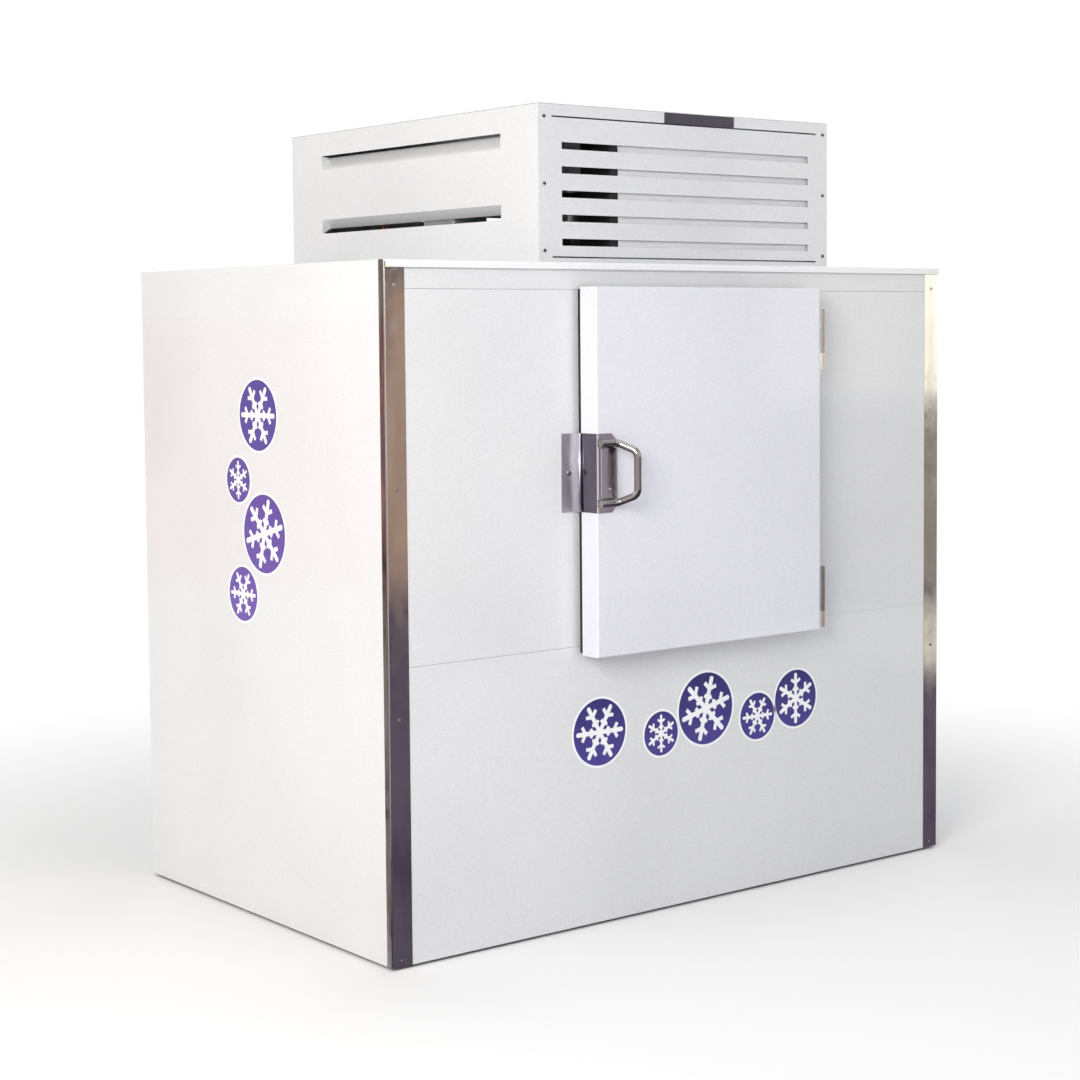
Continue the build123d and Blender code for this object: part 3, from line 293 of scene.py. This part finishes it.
def coil_fins():
    """Pressed aluminium fins, drawn as an upright ribbing, darker in its grooves as painted shade.

    The ribs are a little wider apart than real fins, so that they show.
    """
    material, tree, place, shader = blank_material("aluminium_fins", {"Metallic": 0.2})
    ribs = add_node(
        tree, "ShaderNodeTexWave",
        {"Vector": place, "Scale": BAND_PITCH / RIB_PITCH, "Distortion": 0.4},
        bands_direction="X",
    )
    # Painted shade: each rib's groove is darker than its crest
    ramp = add_node(tree, "ShaderNodeValToRGB", {"Fac": ribs.outputs["Fac"]})
    set_stops(ramp, ((0, "#C9CCD2"), (1, "#E6E8EC")))
    tree.links.new(ramp.outputs["Color"], shader.inputs["Base Color"])
    tree.links.new(uneven(tree, place, 30, 0.45, 0.6), shader.inputs["Roughness"])
    bump = add_node(
        tree, "ShaderNodeBump",
        {"Height": ribs.outputs["Fac"], "Distance": 0.6 * MM, "Strength": 0.7},
    )
    tree.links.new(bump.outputs["Normal"], shader.inputs["Normal"])
    return material


def bare_metal(name, colours, rough_low, rough_high):
    """Bare metal: a tone that wanders, with fine marks drawn coarser than real to show."""
    material, tree, place, shader = blank_material(name, {"Metallic": 1.0})
    tree.links.new(patches(tree, place, 18, colours), shader.inputs["Base Color"])
    tree.links.new(uneven(tree, place, 12, rough_low, rough_high), shader.inputs["Roughness"])
    tree.links.new(grain(tree, place, 0.8, 0.02, 0.3), shader.inputs["Normal"])
    return material


def tint_past(material, axis, limit, tint, both_sides=False):
    """Tint a finish where its place on an axis is past a limit, or past it on either side."""
    tree, place, shader, tone = material_parts(material)
    along = add_node(tree, "ShaderNodeSeparateXYZ", {"Vector": place}).outputs[axis]
    if both_sides:
        along = add_node(tree, "ShaderNodeMath", {0: along}, operation="ABSOLUTE").outputs["Value"]
    past = add_node(tree, "ShaderNodeMath", {0: along, 1: limit}, operation="GREATER_THAN")
    tinted = add_node(
        tree, "ShaderNodeMix",
        {"Factor": past.outputs["Value"], "A": tone, "B": to_linear(tint)},
        data_type="RGBA", blend_type="MULTIPLY",
    )
    tree.links.new(live_output(tinted), shader.inputs["Base Color"])
    return material


def film(name, colours, low_z=None, high_z=None):
    """Vinyl film: satin, with small ripples, in an even colour or one that changes up a band."""
    material, tree, place, shader = blank_material(name)
    if low_z is None:
        tone = patches(tree, place, 120, colours)
    else:
        height = add_node(tree, "ShaderNodeSeparateXYZ", {"Vector": place}).outputs["Z"]
        share = add_node(
            tree, "ShaderNodeMapRange", {"Value": height, "From Min": low_z, "From Max": high_z}
        )
        ramp = add_node(tree, "ShaderNodeValToRGB", {"Fac": share.outputs["Result"]})
        set_stops(ramp, ((0, colours[0]), (1, colours[1])))
        tone = ramp.outputs["Color"]
    tree.links.new(tone, shader.inputs["Base Color"])
    tree.links.new(uneven(tree, place, 40, 0.32, 0.45), shader.inputs["Roughness"])
    tree.links.new(grain(tree, place, 14, 0.1, 0.3), shader.inputs["Normal"])
    return material


# The finish of each material slot, and the nodes that have a finish of their own
finishes = {
    "white_enamel": white_enamel("baked_enamel_white", ("#DDDEDF", "#E2E3E4", "#E4E5E5")),
    "galvanised_steel": galvanised_steel(),
    "stainless_steel": stainless_steel(
        "stainless_steel_bright", ("#C2BEBC", "#CFCBC8", "#DAD7D4")
    ),
    # Screw heads are tinted darker on the housing, above the top cover's top
    "plated_screws": tint_past(
        bare_metal("screw_heads", ("#9A9692", "#B8B4B0"), 0.25, 0.4),
        "Z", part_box("top_cover")[1][2], "#8F8D8B",
    ),
    "insulation_foam": foam(),
    "liner_aluminium": liner_aluminium(),
    "white_plastic": moulded_plastic("polystyrene_white", ("#DFE1E3", "#E4E5E7"), 0.38, 0.46),
    "magnetic_gasket": moulded_plastic("pvc_gasket_black", ("#1B1B1D", "#262628"), 0.55, 0.7),
    "rack_plastic": moulded_plastic("polyethylene_grey", ("#8A9098", "#9AA0A7"), 0.5, 0.65),
    "compressor_black": painted_sheet("black_enamel", ("#141416", "#1E1E20"), 0.25, 0.4),
    "foot_rubber": moulded_plastic("rubber_black", ("#161616", "#222222"), 0.75, 0.9),
    "coil_fins": coil_fins(),
    "motor_grey": painted_sheet("motor_enamel_grey", ("#37393C", "#45474A"), 0.4, 0.55),
    "fan_aluminium": bare_metal("aluminium_pressed", ("#B5B8BB", "#D2D5D7"), 0.3, 0.45),
    "fan_plastic": moulded_plastic("nylon_black", ("#1A1A1C", "#28282A"), 0.45, 0.6),
    "copper_tube": bare_metal("copper_drawn", ("#9C5E3F", "#C98461", "#7B4A35"), 0.25, 0.42),
    "box_grey": painted_sheet("box_enamel_grey", ("#7F8387", "#8E9296"), 0.4, 0.55),
    "knob_plastic": moulded_plastic("phenolic_black", ("#121214", "#1C1C1E"), 0.3, 0.45),
}
# The corner posts' stainless is tinted darker on their outer side returns, as painted shade
posts_painted_side_shade = tint_past(
    stainless_steel("stainless_steel_posts", ("#C2BEBC", "#CFCBC8", "#DAD7D4")),
    "X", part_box("right_corner_post")[1][0] - POST_SHEET, "#AFABA9", both_sides=True,
)
own_finish = {
    "door_shell": white_enamel("baked_enamel_door", ("#E2E2E9", "#E5E5EC", "#E7E7EE")),
    "left_corner_post": posts_painted_side_shade,
    "right_corner_post": posts_painted_side_shade,
    # The cover's enamel is lighter than the panels', a painted highlight on its rim; behind the
    # rim its flat is tinted back down
    "top_cover": tint_past(
        white_enamel("baked_enamel_cover", ("#EFEFF0", "#F3F3F4", "#F5F5F6")),
        "Y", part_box("top_cover")[0][1] + RIM_DEPTH, "#DDDDDF",
    ),
    # The grille's enamel is tinted darker on its hems, behind its face, as painted shade in the
    # slots
    "grille_panel": tint_past(
        white_enamel("baked_enamel_grille", ("#D7D8DA", "#DCDDDF", "#DEDFE1")),
        "Y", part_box("grille_panel")[0][1] + HEM_START, "#C0C0C6",
    ),
    "hinge_door_leaves": stainless_steel(
        "stainless_steel_hinge_leaves", ("#8F8C88", "#9D9A96", "#ABA8A5"), 0.24, 0.34
    ),
    "hinge_brackets": stainless_steel(
        "stainless_steel_hinge_brackets", ("#BFBBB0", "#CCC8BE", "#D7D3CB"), 0.3, 0.4
    ),
    "door_pull": stainless_steel(
        "stainless_steel_pull", ("#787373", "#8E8987", "#A5A09D"), 0.03, 0.07
    ),
    "strike_plate": stainless_steel(
        "stainless_steel_satin", ("#BDBBC0", "#CAC9CE", "#D7D6D9"), 0.34, 0.44
    ),
    # The latch plate has painted shade on its side leg and a painted highlight along its fold
    "latch_bracket": folded_stainless(
        "stainless_steel_latch", ("#958E97", "#A39CA5", "#B0A9B0"),
        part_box("latch_bracket")[0][0],
    ),
}
slot_of = {entry["node"]: entry["material_slot"] for entry in frame["record"]["subparts"]}
for name, piece in frame["nodes"].items():
    piece.data.materials.clear()
    piece.data.materials.append(own_finish.get(name, finishes[slot_of[name]]))


def mesh_object(name, mesh, material):
    """Turn a finished bmesh into an object in the scene."""
    data = bpy.data.meshes.new(name)
    mesh.to_mesh(data)
    mesh.free()
    data.materials.append(material)
    made = bpy.data.objects.new(name, data)
    bpy.context.scene.collection.objects.link(made)
    return made


def new_piece(name, mesh, material, body):
    """Turn a finished bmesh into a piece that rides on a body."""
    bmesh.ops.recalc_face_normals(mesh, faces=mesh.faces)
    piece = mesh_object(name, mesh, material)
    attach(piece, body)
    return piece


def join_into(mesh, made):
    """Copy one bmesh into another and free it."""
    held = bpy.data.meshes.new("held")
    made.to_mesh(held)
    made.free()
    mesh.from_mesh(held)
    bpy.data.meshes.remove(held)


def block(mesh, low, high):
    """Add a box between two corners."""
    corners = bmesh.ops.create_cube(mesh, size=1)["verts"]
    bmesh.ops.scale(mesh, vec=[h - l for l, h in zip(low, high)], verts=corners)
    bmesh.ops.translate(mesh, vec=[(l + h) / 2 for l, h in zip(low, high)], verts=corners)


# A snow crystal's proportions, as shares of its reach: half the width of an arm and of a twig,
# and where each pair of twigs starts and how long it is. A twig leaves its arm at 60 degrees,
# so it runs TWIG_ALONG and TWIG_ASIDE for each unit of its length
ARM_WIDTH = 0.075
TWIG_WIDTH = 0.06
TWIGS = ((0.6, 0.28), (0.3, 0.17))
TIP_SLANT = 0.6
TWIG_ALONG = 0.5
TWIG_ASIDE = 0.866


def flake(mesh, centre, turn, reach, proud):
    """Add one flat six-armed snow crystal, as thick as proud, to a mesh."""
    arm = reach * ARM_WIDTH
    twig = reach * TWIG_WIDTH
    outline = [(0, 0), (reach, 0), (reach - arm * TIP_SLANT, arm)]
    for root, length in TWIGS:
        outer = (arm + TWIG_ALONG * twig) / TWIG_ASIDE
        inner = (arm - TWIG_ALONG * twig) / TWIG_ASIDE
        far = reach * length
        for side, out in ((1, outer), (1, far), (-1, far), (-1, inner)):
            outline.append((
                reach * root + side * TWIG_ASIDE * twig + TWIG_ALONG * out,
                -side * TWIG_ALONG * twig + TWIG_ASIDE * out,
            ))
    outline.append((arm * math.sqrt(3), arm))
    made = bmesh.new()
    made.faces.new([made.verts.new((x, y, 0)) for x, y in outline])
    bmesh.ops.mirror(
        made, geom=made.verts[:] + made.edges[:] + made.faces[:], axis="Y", merge_dist=1e-6
    )
    bmesh.ops.spin(
        made, geom=made.verts[:] + made.edges[:] + made.faces[:], cent=(0, 0, 0), axis=(0, 0, 1),
        angle=math.radians(300), steps=5, use_duplicate=True,
    )
    bmesh.ops.remove_doubles(made, verts=made.verts, dist=1e-6)
    bmesh.ops.recalc_face_normals(made, faces=made.faces)
    raised = bmesh.ops.extrude_face_region(made, geom=made.faces[:])
    tops = [item for item in raised["geom"] if isinstance(item, bmesh.types.BMVert)]
    bmesh.ops.translate(made, verts=tops, vec=(0, 0, proud))
    bmesh.ops.rotate(made, verts=made.verts, matrix=Matrix.Rotation(turn, 3, "Z"))
    bmesh.ops.translate(made, verts=made.verts, vec=(*centre, 0))
    join_into(mesh, made)


def crystals(name, flakes, wall, sheet, proud):
    """Lay a snow crystal for each sticker on a wall, which turns the flat drawing onto it."""
    mesh = bmesh.new()
    for x, y, reach, turn in flakes:
        flake(mesh, (x * MM, y * MM), math.radians(turn), reach * MM, proud)
    bmesh.ops.transform(mesh, matrix=wall, verts=mesh.verts)
    new_piece(name, mesh, sheet, "cabinet")


def discs(name, flakes, wall, sheet, margin, proud):
    """Lay a round sheet of film under each crystal, wider than it by margin."""
    mesh = bmesh.new()
    for x, y, reach, turn in flakes:
        radius = reach * MM + margin
        bmesh.ops.create_cone(
            mesh, cap_ends=True, segments=72, radius1=radius, radius2=radius, depth=proud,
            matrix=Matrix.Translation((x * MM, y * MM, proud / 2)),
        )
    bmesh.ops.transform(mesh, matrix=wall, verts=mesh.verts)
    new_piece(name, mesh, sheet, "cabinet")


# Round stickers with snow crystals on the front and the left side: each one's place on the
# wall, its crystal's reach, all in millimetres, and its turn in degrees
FRONT_FLAKES = ((-250, 395, 62, 0), (-85, 372, 40, 30), (40, 410, 70, 15), (190, 376, 44, 0),
                (305, 402, 56, 30))
SIDE_FLAKES = ((12, 1040, 66, 0), (-70, 905, 40, 30), (30, 800, 74, 15), (-58, 670, 50, 0))
FILM = 0.12 * MM
DISC_MARGIN = 6 * MM
WHITE_RIM = 5 * MM
panel_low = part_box("lower_front_panel")[0]
side_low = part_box("left_side_panel")[0]

# Each wall stands a flat drawing up, its right to the right as seen from outside
front_wall = Matrix.Translation((0, panel_low[1], 0)) @ Matrix.Rotation(math.radians(90), 4, "X")
side_wall = Matrix.Translation((side_low[0], 0, 0)) @ Matrix(
    ((0, 0, -1, 0), (-1, 0, 0, 0), (0, 1, 0, 0), (0, 0, 0, 1))
)
white_film = film("vinyl_film_white", ("#F0F0F4", "#F7F7F9"))
for label, flakes, wall, tones in (
    ("front", FRONT_FLAKES, front_wall, ("#4A3F92", "#2B2868")),
    ("side", SIDE_FLAKES, side_wall, ("#6A4BA6", "#43368C")),
):
    low_z = min(y - reach for x, y, reach, turn in flakes) * MM
    high_z = max(y + reach for x, y, reach, turn in flakes) * MM
    violet = film("vinyl_film_violet_" + label, tones, low_z, high_z)
    discs(label + "_film", flakes, wall, white_film, DISC_MARGIN + WHITE_RIM, FILM)
    discs(label + "_discs", flakes, wall, violet, DISC_MARGIN, 2 * FILM)
    crystals(label + "_flakes", flakes, wall, white_film, 3 * FILM)

# Dark name plate on the grille, bare, with a raised bright edge
PLATE_LEFT = -49 * MM
PLATE_RIGHT = 145 * MM
PLATE_BOTTOM = 1628.5 * MM
PLATE_TOP = 1650.5 * MM
PLATE_THICKNESS = 1.6 * MM
PLATE_RIM = 1.4 * MM
PLATE_SINK = 0.5 * MM
grille_low, grille_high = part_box("grille_panel")
mesh = bmesh.new()
block(
    mesh, (PLATE_LEFT, grille_low[1] - PLATE_THICKNESS, PLATE_BOTTOM),
    (PLATE_RIGHT, grille_low[1], PLATE_TOP),
)
face = min(mesh.faces, key=lambda f: f.calc_center_median().y)
bmesh.ops.inset_region(mesh, faces=[face], thickness=PLATE_RIM)
bmesh.ops.inset_region(mesh, faces=[face], thickness=PLATE_RIM / 4, depth=-PLATE_SINK)
bmesh.ops.bevel(
    mesh, geom=[edge for edge in mesh.edges if edge.calc_face_angle(0) > 1],
    offset=PLATE_RIM / 4, affect="EDGES", segments=2, profile=0.5, material=-1,
)
plate_black = painted_sheet("anodised_aluminium_black", ("#3A3743", "#464250"), 0.25, 0.4, 0.3)
new_piece("bare_name_plate", mesh, plate_black, "cabinet")

# Sealant in the seams between the front panels: grey, and nearly white below the right panel
SEAM = 0.8 * MM
SEALANT_SINK = 0.3 * MM
left_low, left_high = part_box("left_front_panel")
right_low, right_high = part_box("right_front_panel")
grey_sealant = moulded_plastic("silicone_sealant_grey", ("#6B6F73", "#7C8084"), 0.5, 0.7)
white_sealant = moulded_plastic("silicone_sealant_white", ("#B9BCBF", "#C4C7CA"), 0.5, 0.7)
for name, sealant, seams in (
    ("grey", grey_sealant, ((left_low, left_high, left_low[2] - SEAM / 2),
                            (left_low, left_high, left_high[2] + SEAM / 2),
                            (right_low, right_high, right_high[2] + SEAM / 2))),
    ("white", white_sealant, ((right_low, right_high, right_low[2] - SEAM / 2),)),
):
    mesh = bmesh.new()
    for low, high, z in seams:
        block(
            mesh, (low[0], low[1] + SEALANT_SINK, z - SEAM / 2), (high[0], high[1], z + SEAM / 2)
        )
    new_piece("panel_seam_sealant_" + name, mesh, sealant, "cabinet")

# Fins of the condenser, one pressed sheet after another behind the grille's slots. They are
# drawn thicker than the real ones, which would be too fine to show. They start inside the
# coil's left end and run on past its right end
FIN_PITCH = 2.1 * MM
FIN_THICKNESS = 0.9 * MM
FIN_CLEARANCE = 0.5 * MM
FIN_START = 16 * MM
FIN_OVERRUN = 14 * MM
coil_low, coil_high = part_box("condenser_coil")
fin_front = grille_high[1] + FIN_CLEARANCE
mesh = bmesh.new()
x = coil_low[0] + FIN_START
while x < coil_high[0] + FIN_OVERRUN:
    block(mesh, (x, fin_front, coil_low[2]), (x + FIN_THICKNESS, coil_low[1], coil_high[2]))
    x += FIN_PITCH
fin_stock = painted_sheet("aluminium_fin_stock", ("#F1F2F5", "#FAFAFC"), 0.4, 0.55, 0.1)
new_piece("condenser_fins", mesh, fin_stock, "cabinet")

# Black foam that seals the coil's left end to the grille; it also stands as painted shade, dark
# where the housing's inside lies in shade left of the coil
SEAL_THICKNESS = 6 * MM
SEAL_DEPTH = 84 * MM
SEAL_CLEARANCE = 0.3 * MM
mesh = bmesh.new()
block(
    mesh, (coil_low[0] - SEAL_THICKNESS, fin_front, coil_low[2]),
    (coil_low[0] - SEAL_CLEARANCE, coil_low[1] + SEAL_DEPTH, coil_high[2]),
)
block(
    mesh, (coil_low[0] - SEAL_CLEARANCE, fin_front, coil_low[2]),
    (coil_low[0] + FIN_START - FIN_THICKNESS, coil_low[1], coil_high[2]),
)
shade_and_seal_foam = moulded_plastic("foam_rubber_black", ("#161618", "#202022"), 0.85, 0.95, 2.0, 0.3)
new_piece("coil_side_seal", mesh, shade_and_seal_foam, "cabinet")

# Rolled edge on the strike plate's lip, close beside the latch plate's side leg. Its round
# side is smooth, and its ends are flat
BEAD_RADIUS = 2.6 * MM
BEAD_GAP = 0.6 * MM
strike_low, strike_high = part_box("strike_plate")
mesh = bmesh.new()
bmesh.ops.create_cone(
    mesh, cap_ends=True, segments=24, radius1=BEAD_RADIUS, radius2=BEAD_RADIUS,
    depth=strike_high[2] - strike_low[2],
)
bmesh.ops.translate(
    mesh, verts=mesh.verts,
    vec=(
        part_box("latch_bracket")[0][0] - BEAD_GAP - BEAD_RADIUS, strike_low[1] - BEAD_RADIUS,
        (strike_low[2] + strike_high[2]) / 2,
    ),
)
for face in mesh.faces:
    face.smooth = len(face.verts) == 4
# The bead's steel has lighter tones than the other stainless, as a painted highlight along the
# rolled edge
bead_steel_highlight = stainless_steel("stainless_steel_bead", ("#DAD5DE", "#E6E2E9", "#F0EDF2"), 0.28, 0.38)
new_piece("strike_rolled_edge", mesh, bead_steel_highlight, "cabinet")


# Cross recess in a screw's dome of radius 1: half its width, its reach and its depth
RECESS_WIDTH = 0.18
RECESS_REACH = 0.632
RECESS_DEPTH = 0.3


def pan_screws(name, places, radius, rise, facing=1):
    """Domed screw heads with a cross recess, facing the front, or the back with facing of -1."""
    mesh = bmesh.new()
    for place in places:
        head = bmesh.new()
        bmesh.ops.create_uvsphere(head, u_segments=24, v_segments=12, radius=1)
        bmesh.ops.bisect_plane(
            head, geom=head.verts[:] + head.edges[:] + head.faces[:],
            plane_co=(0, 0, 0), plane_no=(0, 1, 0), clear_outer=True,
        )
        bmesh.ops.holes_fill(head, edges=[edge for edge in head.edges if edge.is_boundary])
        for across in (Vector((1, 0, 0)), Vector((0, 0, 1))):
            groove = [
                vert for vert in head.verts
                if abs(vert.co.dot(across)) < RECESS_WIDTH
                and math.hypot(vert.co.x, vert.co.z) < RECESS_REACH
            ]
            bmesh.ops.translate(head, verts=groove, vec=(0, RECESS_DEPTH, 0))
        bmesh.ops.scale(head, vec=(radius, rise * facing, radius), verts=head.verts)
        bmesh.ops.translate(head, vec=place, verts=head.verts)
        join_into(mesh, head)
    piece = new_piece(name, mesh, screw_steel, "cabinet")
    piece.data.polygons.foreach_set("use_smooth", [True] * len(piece.data.polygons))


def spread(low, high, inset, count):
    """Even places between two ends, with an inset at each."""
    return [low + inset + (high - low - 2 * inset) * i / (count - 1) for i in range(count)]


# Screw heads of the hinge brackets, the strike plate and the back panel
BRACKET_HEIGHT = 130 * MM
BRACKET_PLATE = 4 * MM
BRACKET_INSET = 12 * MM
STRIKE_SHEET = 2 * MM
STRIKE_SCREW_INSET = 17 * MM
BACK_INSET = 14 * MM
BACK_COLUMNS = 6
BACK_ROWS = 5
screw_steel = bare_metal("stainless_screw_heads", ("#8C8986", "#A5A29F"), 0.18, 0.28)
bracket_low, bracket_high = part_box("hinge_brackets")
bracket_screws = [
    (bracket_high[0] - BRACKET_INSET, panel_low[1] - BRACKET_PLATE, z)
    for z in (
        bracket_low[2] + BRACKET_INSET, bracket_low[2] + BRACKET_HEIGHT - BRACKET_INSET,
        bracket_high[2] - BRACKET_HEIGHT + BRACKET_INSET, bracket_high[2] - BRACKET_INSET,
    )
]
strike_screws = [(
    strike_high[0] - STRIKE_SCREW_INSET, panel_low[1] - STRIKE_SHEET,
    (strike_low[2] + strike_high[2]) / 2,
)]
back_low, back_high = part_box("back_panel")
back_columns = spread(back_low[0], back_high[0], BACK_INSET, BACK_COLUMNS)
back_rows = spread(back_low[2], back_high[2], BACK_INSET, BACK_ROWS)
back_screws = [
    (x, back_high[1], z) for x in back_columns for z in back_rows
    if x in (back_columns[0], back_columns[-1]) or z in (back_rows[0], back_rows[-1])
]
pan_screws("hinge_bracket_screws", bracket_screws, radius=4.5 * MM, rise=2.2 * MM)
pan_screws("strike_screw", strike_screws, radius=6.0 * MM, rise=3.0 * MM)
pan_screws("back_panel_screws", back_screws, radius=4.0 * MM, rise=1.8 * MM, facing=-1)


def looked_at(tree):
    """1 where the camera, metal or glass looks, and 0 where only light arrives."""
    path = add_node(tree, "ShaderNodeLightPath")
    seen = path.outputs["Is Camera Ray"]
    for ray in ("Is Glossy Ray", "Is Transmission Ray"):
        either = add_node(
            tree, "ShaderNodeMath", {0: seen, 1: path.outputs[ray]}, operation="MAXIMUM"
        )
        seen = either.outputs["Value"]
    return seen


# Floor: pale near the object so that its shadow shows, fading to the white background
FLOOR_REACH = 20
FADE_START = 0.9
FADE_END = 2.6
floor_material = bpy.data.materials.new("studio_floor")
tree = cleared_tree(floor_material)
floor_place = add_node(tree, "ShaderNodeTexCoord").outputs["Object"]
distance = add_node(tree, "ShaderNodeVectorMath", {0: floor_place}, operation="LENGTH")
fade = add_node(
    tree, "ShaderNodeMapRange",
    {"Value": distance.outputs["Value"], "From Min": FADE_START, "From Max": FADE_END},
    interpolation_type="SMOOTHSTEP",
)
share = add_node(
    tree, "ShaderNodeMath", {0: looked_at(tree), 1: fade.outputs["Result"]},
    operation="MULTIPLY",
)
matt = add_node(tree, "ShaderNodeBsdfDiffuse", {"Color": to_linear("#F6F6F6")})
glow = add_node(tree, "ShaderNodeEmission", {"Color": to_linear("#FFFFFF"), "Strength": 1.0})
mixed = add_node(
    tree, "ShaderNodeMixShader",
    {0: share.outputs["Value"], 1: matt.outputs["BSDF"], 2: glow.outputs["Emission"]},
)
add_node(tree, "ShaderNodeOutputMaterial", {"Surface": mixed.outputs["Shader"]})
mesh = bmesh.new()
bmesh.ops.create_grid(mesh, x_segments=1, y_segments=1, size=FLOOR_REACH)
mesh_object("studio_floor", mesh, floor_material)

# World: an even light, and plain white where the camera, metal or glass looks at it
EVEN_LIGHT = 0.35
world = bpy.data.worlds.new("studio_world")
bpy.context.scene.world = world
tree = cleared_tree(world)
even = add_node(
    tree, "ShaderNodeBackground", {"Color": to_linear("#F7F7F8"), "Strength": EVEN_LIGHT}
)
white = add_node(tree, "ShaderNodeBackground", {"Color": to_linear("#FFFFFF"), "Strength": 1.0})
mixed = add_node(
    tree, "ShaderNodeMixShader",
    {0: looked_at(tree), 1: even.outputs["Background"], 2: white.outputs["Background"]},
)
add_node(tree, "ShaderNodeOutputWorld", {"Surface": mixed.outputs["Shader"]})


def soft_light(name, place, aim, size, power, colour):
    """A square area lamp at a place, aimed at a point, in metres and watts."""
    lamp = bpy.data.lights.new(name, "AREA")
    lamp.size = size
    lamp.energy = power
    lamp.color = to_linear(colour)[:3]
    holder = bpy.data.objects.new(name, lamp)
    holder.location = place
    aim_way = Vector(aim) - Vector(place)
    holder.rotation_euler = aim_way.to_track_quat("-Z", "Y").to_euler()
    bpy.context.scene.collection.objects.link(holder)


soft_light("key_beside_camera", (-3.6, -2.6, 2.3), (-0.5, -0.2, 0.7), 1.8, 130, "#FFFDFA")
soft_light("fill_left", (-4.6, 1.2, 1.4), (-0.8, 0.1, 0.8), 2.4, 26, "#FFF3E6")
soft_light("fill_front", (0.8, -5.4, 2.6), (0, 0, 0.8), 3.0, 40, "#EDF2FF")
soft_light("top", (0.4, -0.4, 4.6), (0, 0, 1.0), 3.0, 45, "#FFFFFF")
soft_light("fill_right", (4.4, 1.4, 1.8), (0.7, 0.1, 0.8), 2.6, 44, "#FFFFFF")
soft_light("fill_back", (-0.4, 4.6, 2.2), (0, 0.4, 0.8), 2.6, 44, "#FFFFFF")


def reflection_card(name, corner, along, rise, tones, size_mm, strength=1.0):
    """A card of mottled tones beside the camera's view, which only metal and gloss see."""
    mesh = bmesh.new()
    bmesh.ops.create_grid(mesh, x_segments=1, y_segments=1, size=0.5)
    bmesh.ops.translate(mesh, verts=mesh.verts, vec=(0.5, 0.5, 0))
    across, up_way = Vector(along), Vector(rise)
    turn = Matrix((across, up_way, across.cross(up_way).normalized())).transposed().to_4x4()
    bmesh.ops.transform(mesh, matrix=Matrix.Translation(corner) @ turn, verts=mesh.verts)
    shade = bpy.data.materials.new(name)
    tree = cleared_tree(shade)
    place = add_node(tree, "ShaderNodeTexCoord").outputs["Object"]
    tone = patches(tree, place, size_mm, tones, detail=3.0)
    glow = add_node(tree, "ShaderNodeEmission", {"Color": tone, "Strength": strength})
    add_node(tree, "ShaderNodeOutputMaterial", {"Surface": glow.outputs["Emission"]})
    card = mesh_object(name, mesh, shade)
    for ray in ("camera", "diffuse", "shadow", "transmission", "volume_scatter"):
        setattr(card, "visible_" + ray, False)


# Which way the wall of cards lies from the object, which way it runs, and how far off it is
WALL_AHEAD = Vector((0.559, -0.829, 0))
WALL_ALONG = Vector((0.829, 0.559, 0))
WALL_DISTANCE = 5.87


def wall_card(name, start, end, low, high, tones, size_mm, strength=1.0, nearer=0.0):
    """A card in that wall, from start to end along it, or nearer to the object."""
    corner = WALL_AHEAD * (WALL_DISTANCE - nearer) + WALL_ALONG * start + Vector((0, 0, low))
    reflection_card(
        name, corner, WALL_ALONG * (end - start), (0, 0, high - low), tones, size_mm, strength
    )


reflection_card(
    "card_paving", (-1.6, -0.48, 0.002), (7.0, 0, 0), (0, -6.4, 0),
    ("#564F60", "#675F70", "#726979"), 500,
)
reflection_card(
    "card_kerb", (2.7, -3.5, 0.004), (1.5, 0, 0), (0, 1.3, 0), ("#EDEBDC", "#FFFDF0"), 300,
)
wall_card("card_wall_brown", -3.4, -0.5, 0.0, 3.2, ("#A98F7E", "#C9AE9B", "#B9A284"), 500)
wall_card("card_wall_mauve", -0.5, 0.8, 0.0, 3.2, ("#C0BAC5", "#D2CCD6", "#DFDAE2"), 400)
wall_card(
    "card_wall_grey", 0.8, 4.0, 0.0, 0.85, ("#4F4B46", "#B4ADA6", "#8F8A76", "#D8D4C8"), 150
)
wall_card("card_wall_cream", 0.8, 4.0, 0.9, 3.2, ("#FFF9E2", "#FFFDF2"), 600, 1.68)
wall_card("card_wall_beam", -3.4, -0.5, 1.43, 1.7, ("#4F474C", "#675C60"), 300, nearer=0.05)
reflection_card(
    "card_blush", (-1.95, 1.32, 0.45), (0.5, 1.58, 0), (0, 0, 0.8), ("#FFB9C2", "#FFD9D2"), 500,
)
reflection_card(
    "card_left_dark", (-2.15, 0.7, 0), (0.197, 0.618, 0), (0, 0, 1.6),
    ("#4C4644", "#7A6A60", "#94786C", "#55504E"), 350,
)
reflection_card(
    "card_left_ground", (-0.768, -0.462, 0.003), (-1.19, 1.78, 0), (-0.25, -0.15, 0),
    ("#7A6A62", "#94786C"), 300,
)

# Camera
yaw = math.radians(CAMERA_YAW)
pitch = math.radians(CAMERA_PITCH)
roll = math.radians(CAMERA_ROLL)
ahead = Vector((
    math.sin(yaw) * math.cos(pitch), math.cos(yaw) * math.cos(pitch), -math.sin(pitch)
))
level = Vector((math.cos(yaw), -math.sin(yaw), 0))
above = level.cross(ahead)
right = level * math.cos(roll) + above * math.sin(roll)
up = above * math.cos(roll) - level * math.sin(roll)
lens = bpy.data.cameras.new("photo_camera")
lens.sensor_width = CAMERA_SENSOR
lens.lens = CAMERA_LENS
lens.shift_y = CAMERA_SHIFT
camera = bpy.data.objects.new("photo_camera", lens)
camera.matrix_world = Matrix.Translation(CAMERA_PLACE) @ Matrix(
    (right, up, -ahead)
).transposed().to_4x4()
bpy.context.scene.collection.objects.link(camera)
bpy.context.scene.camera = camera
bpy.context.scene.view_settings.view_transform = "Standard"
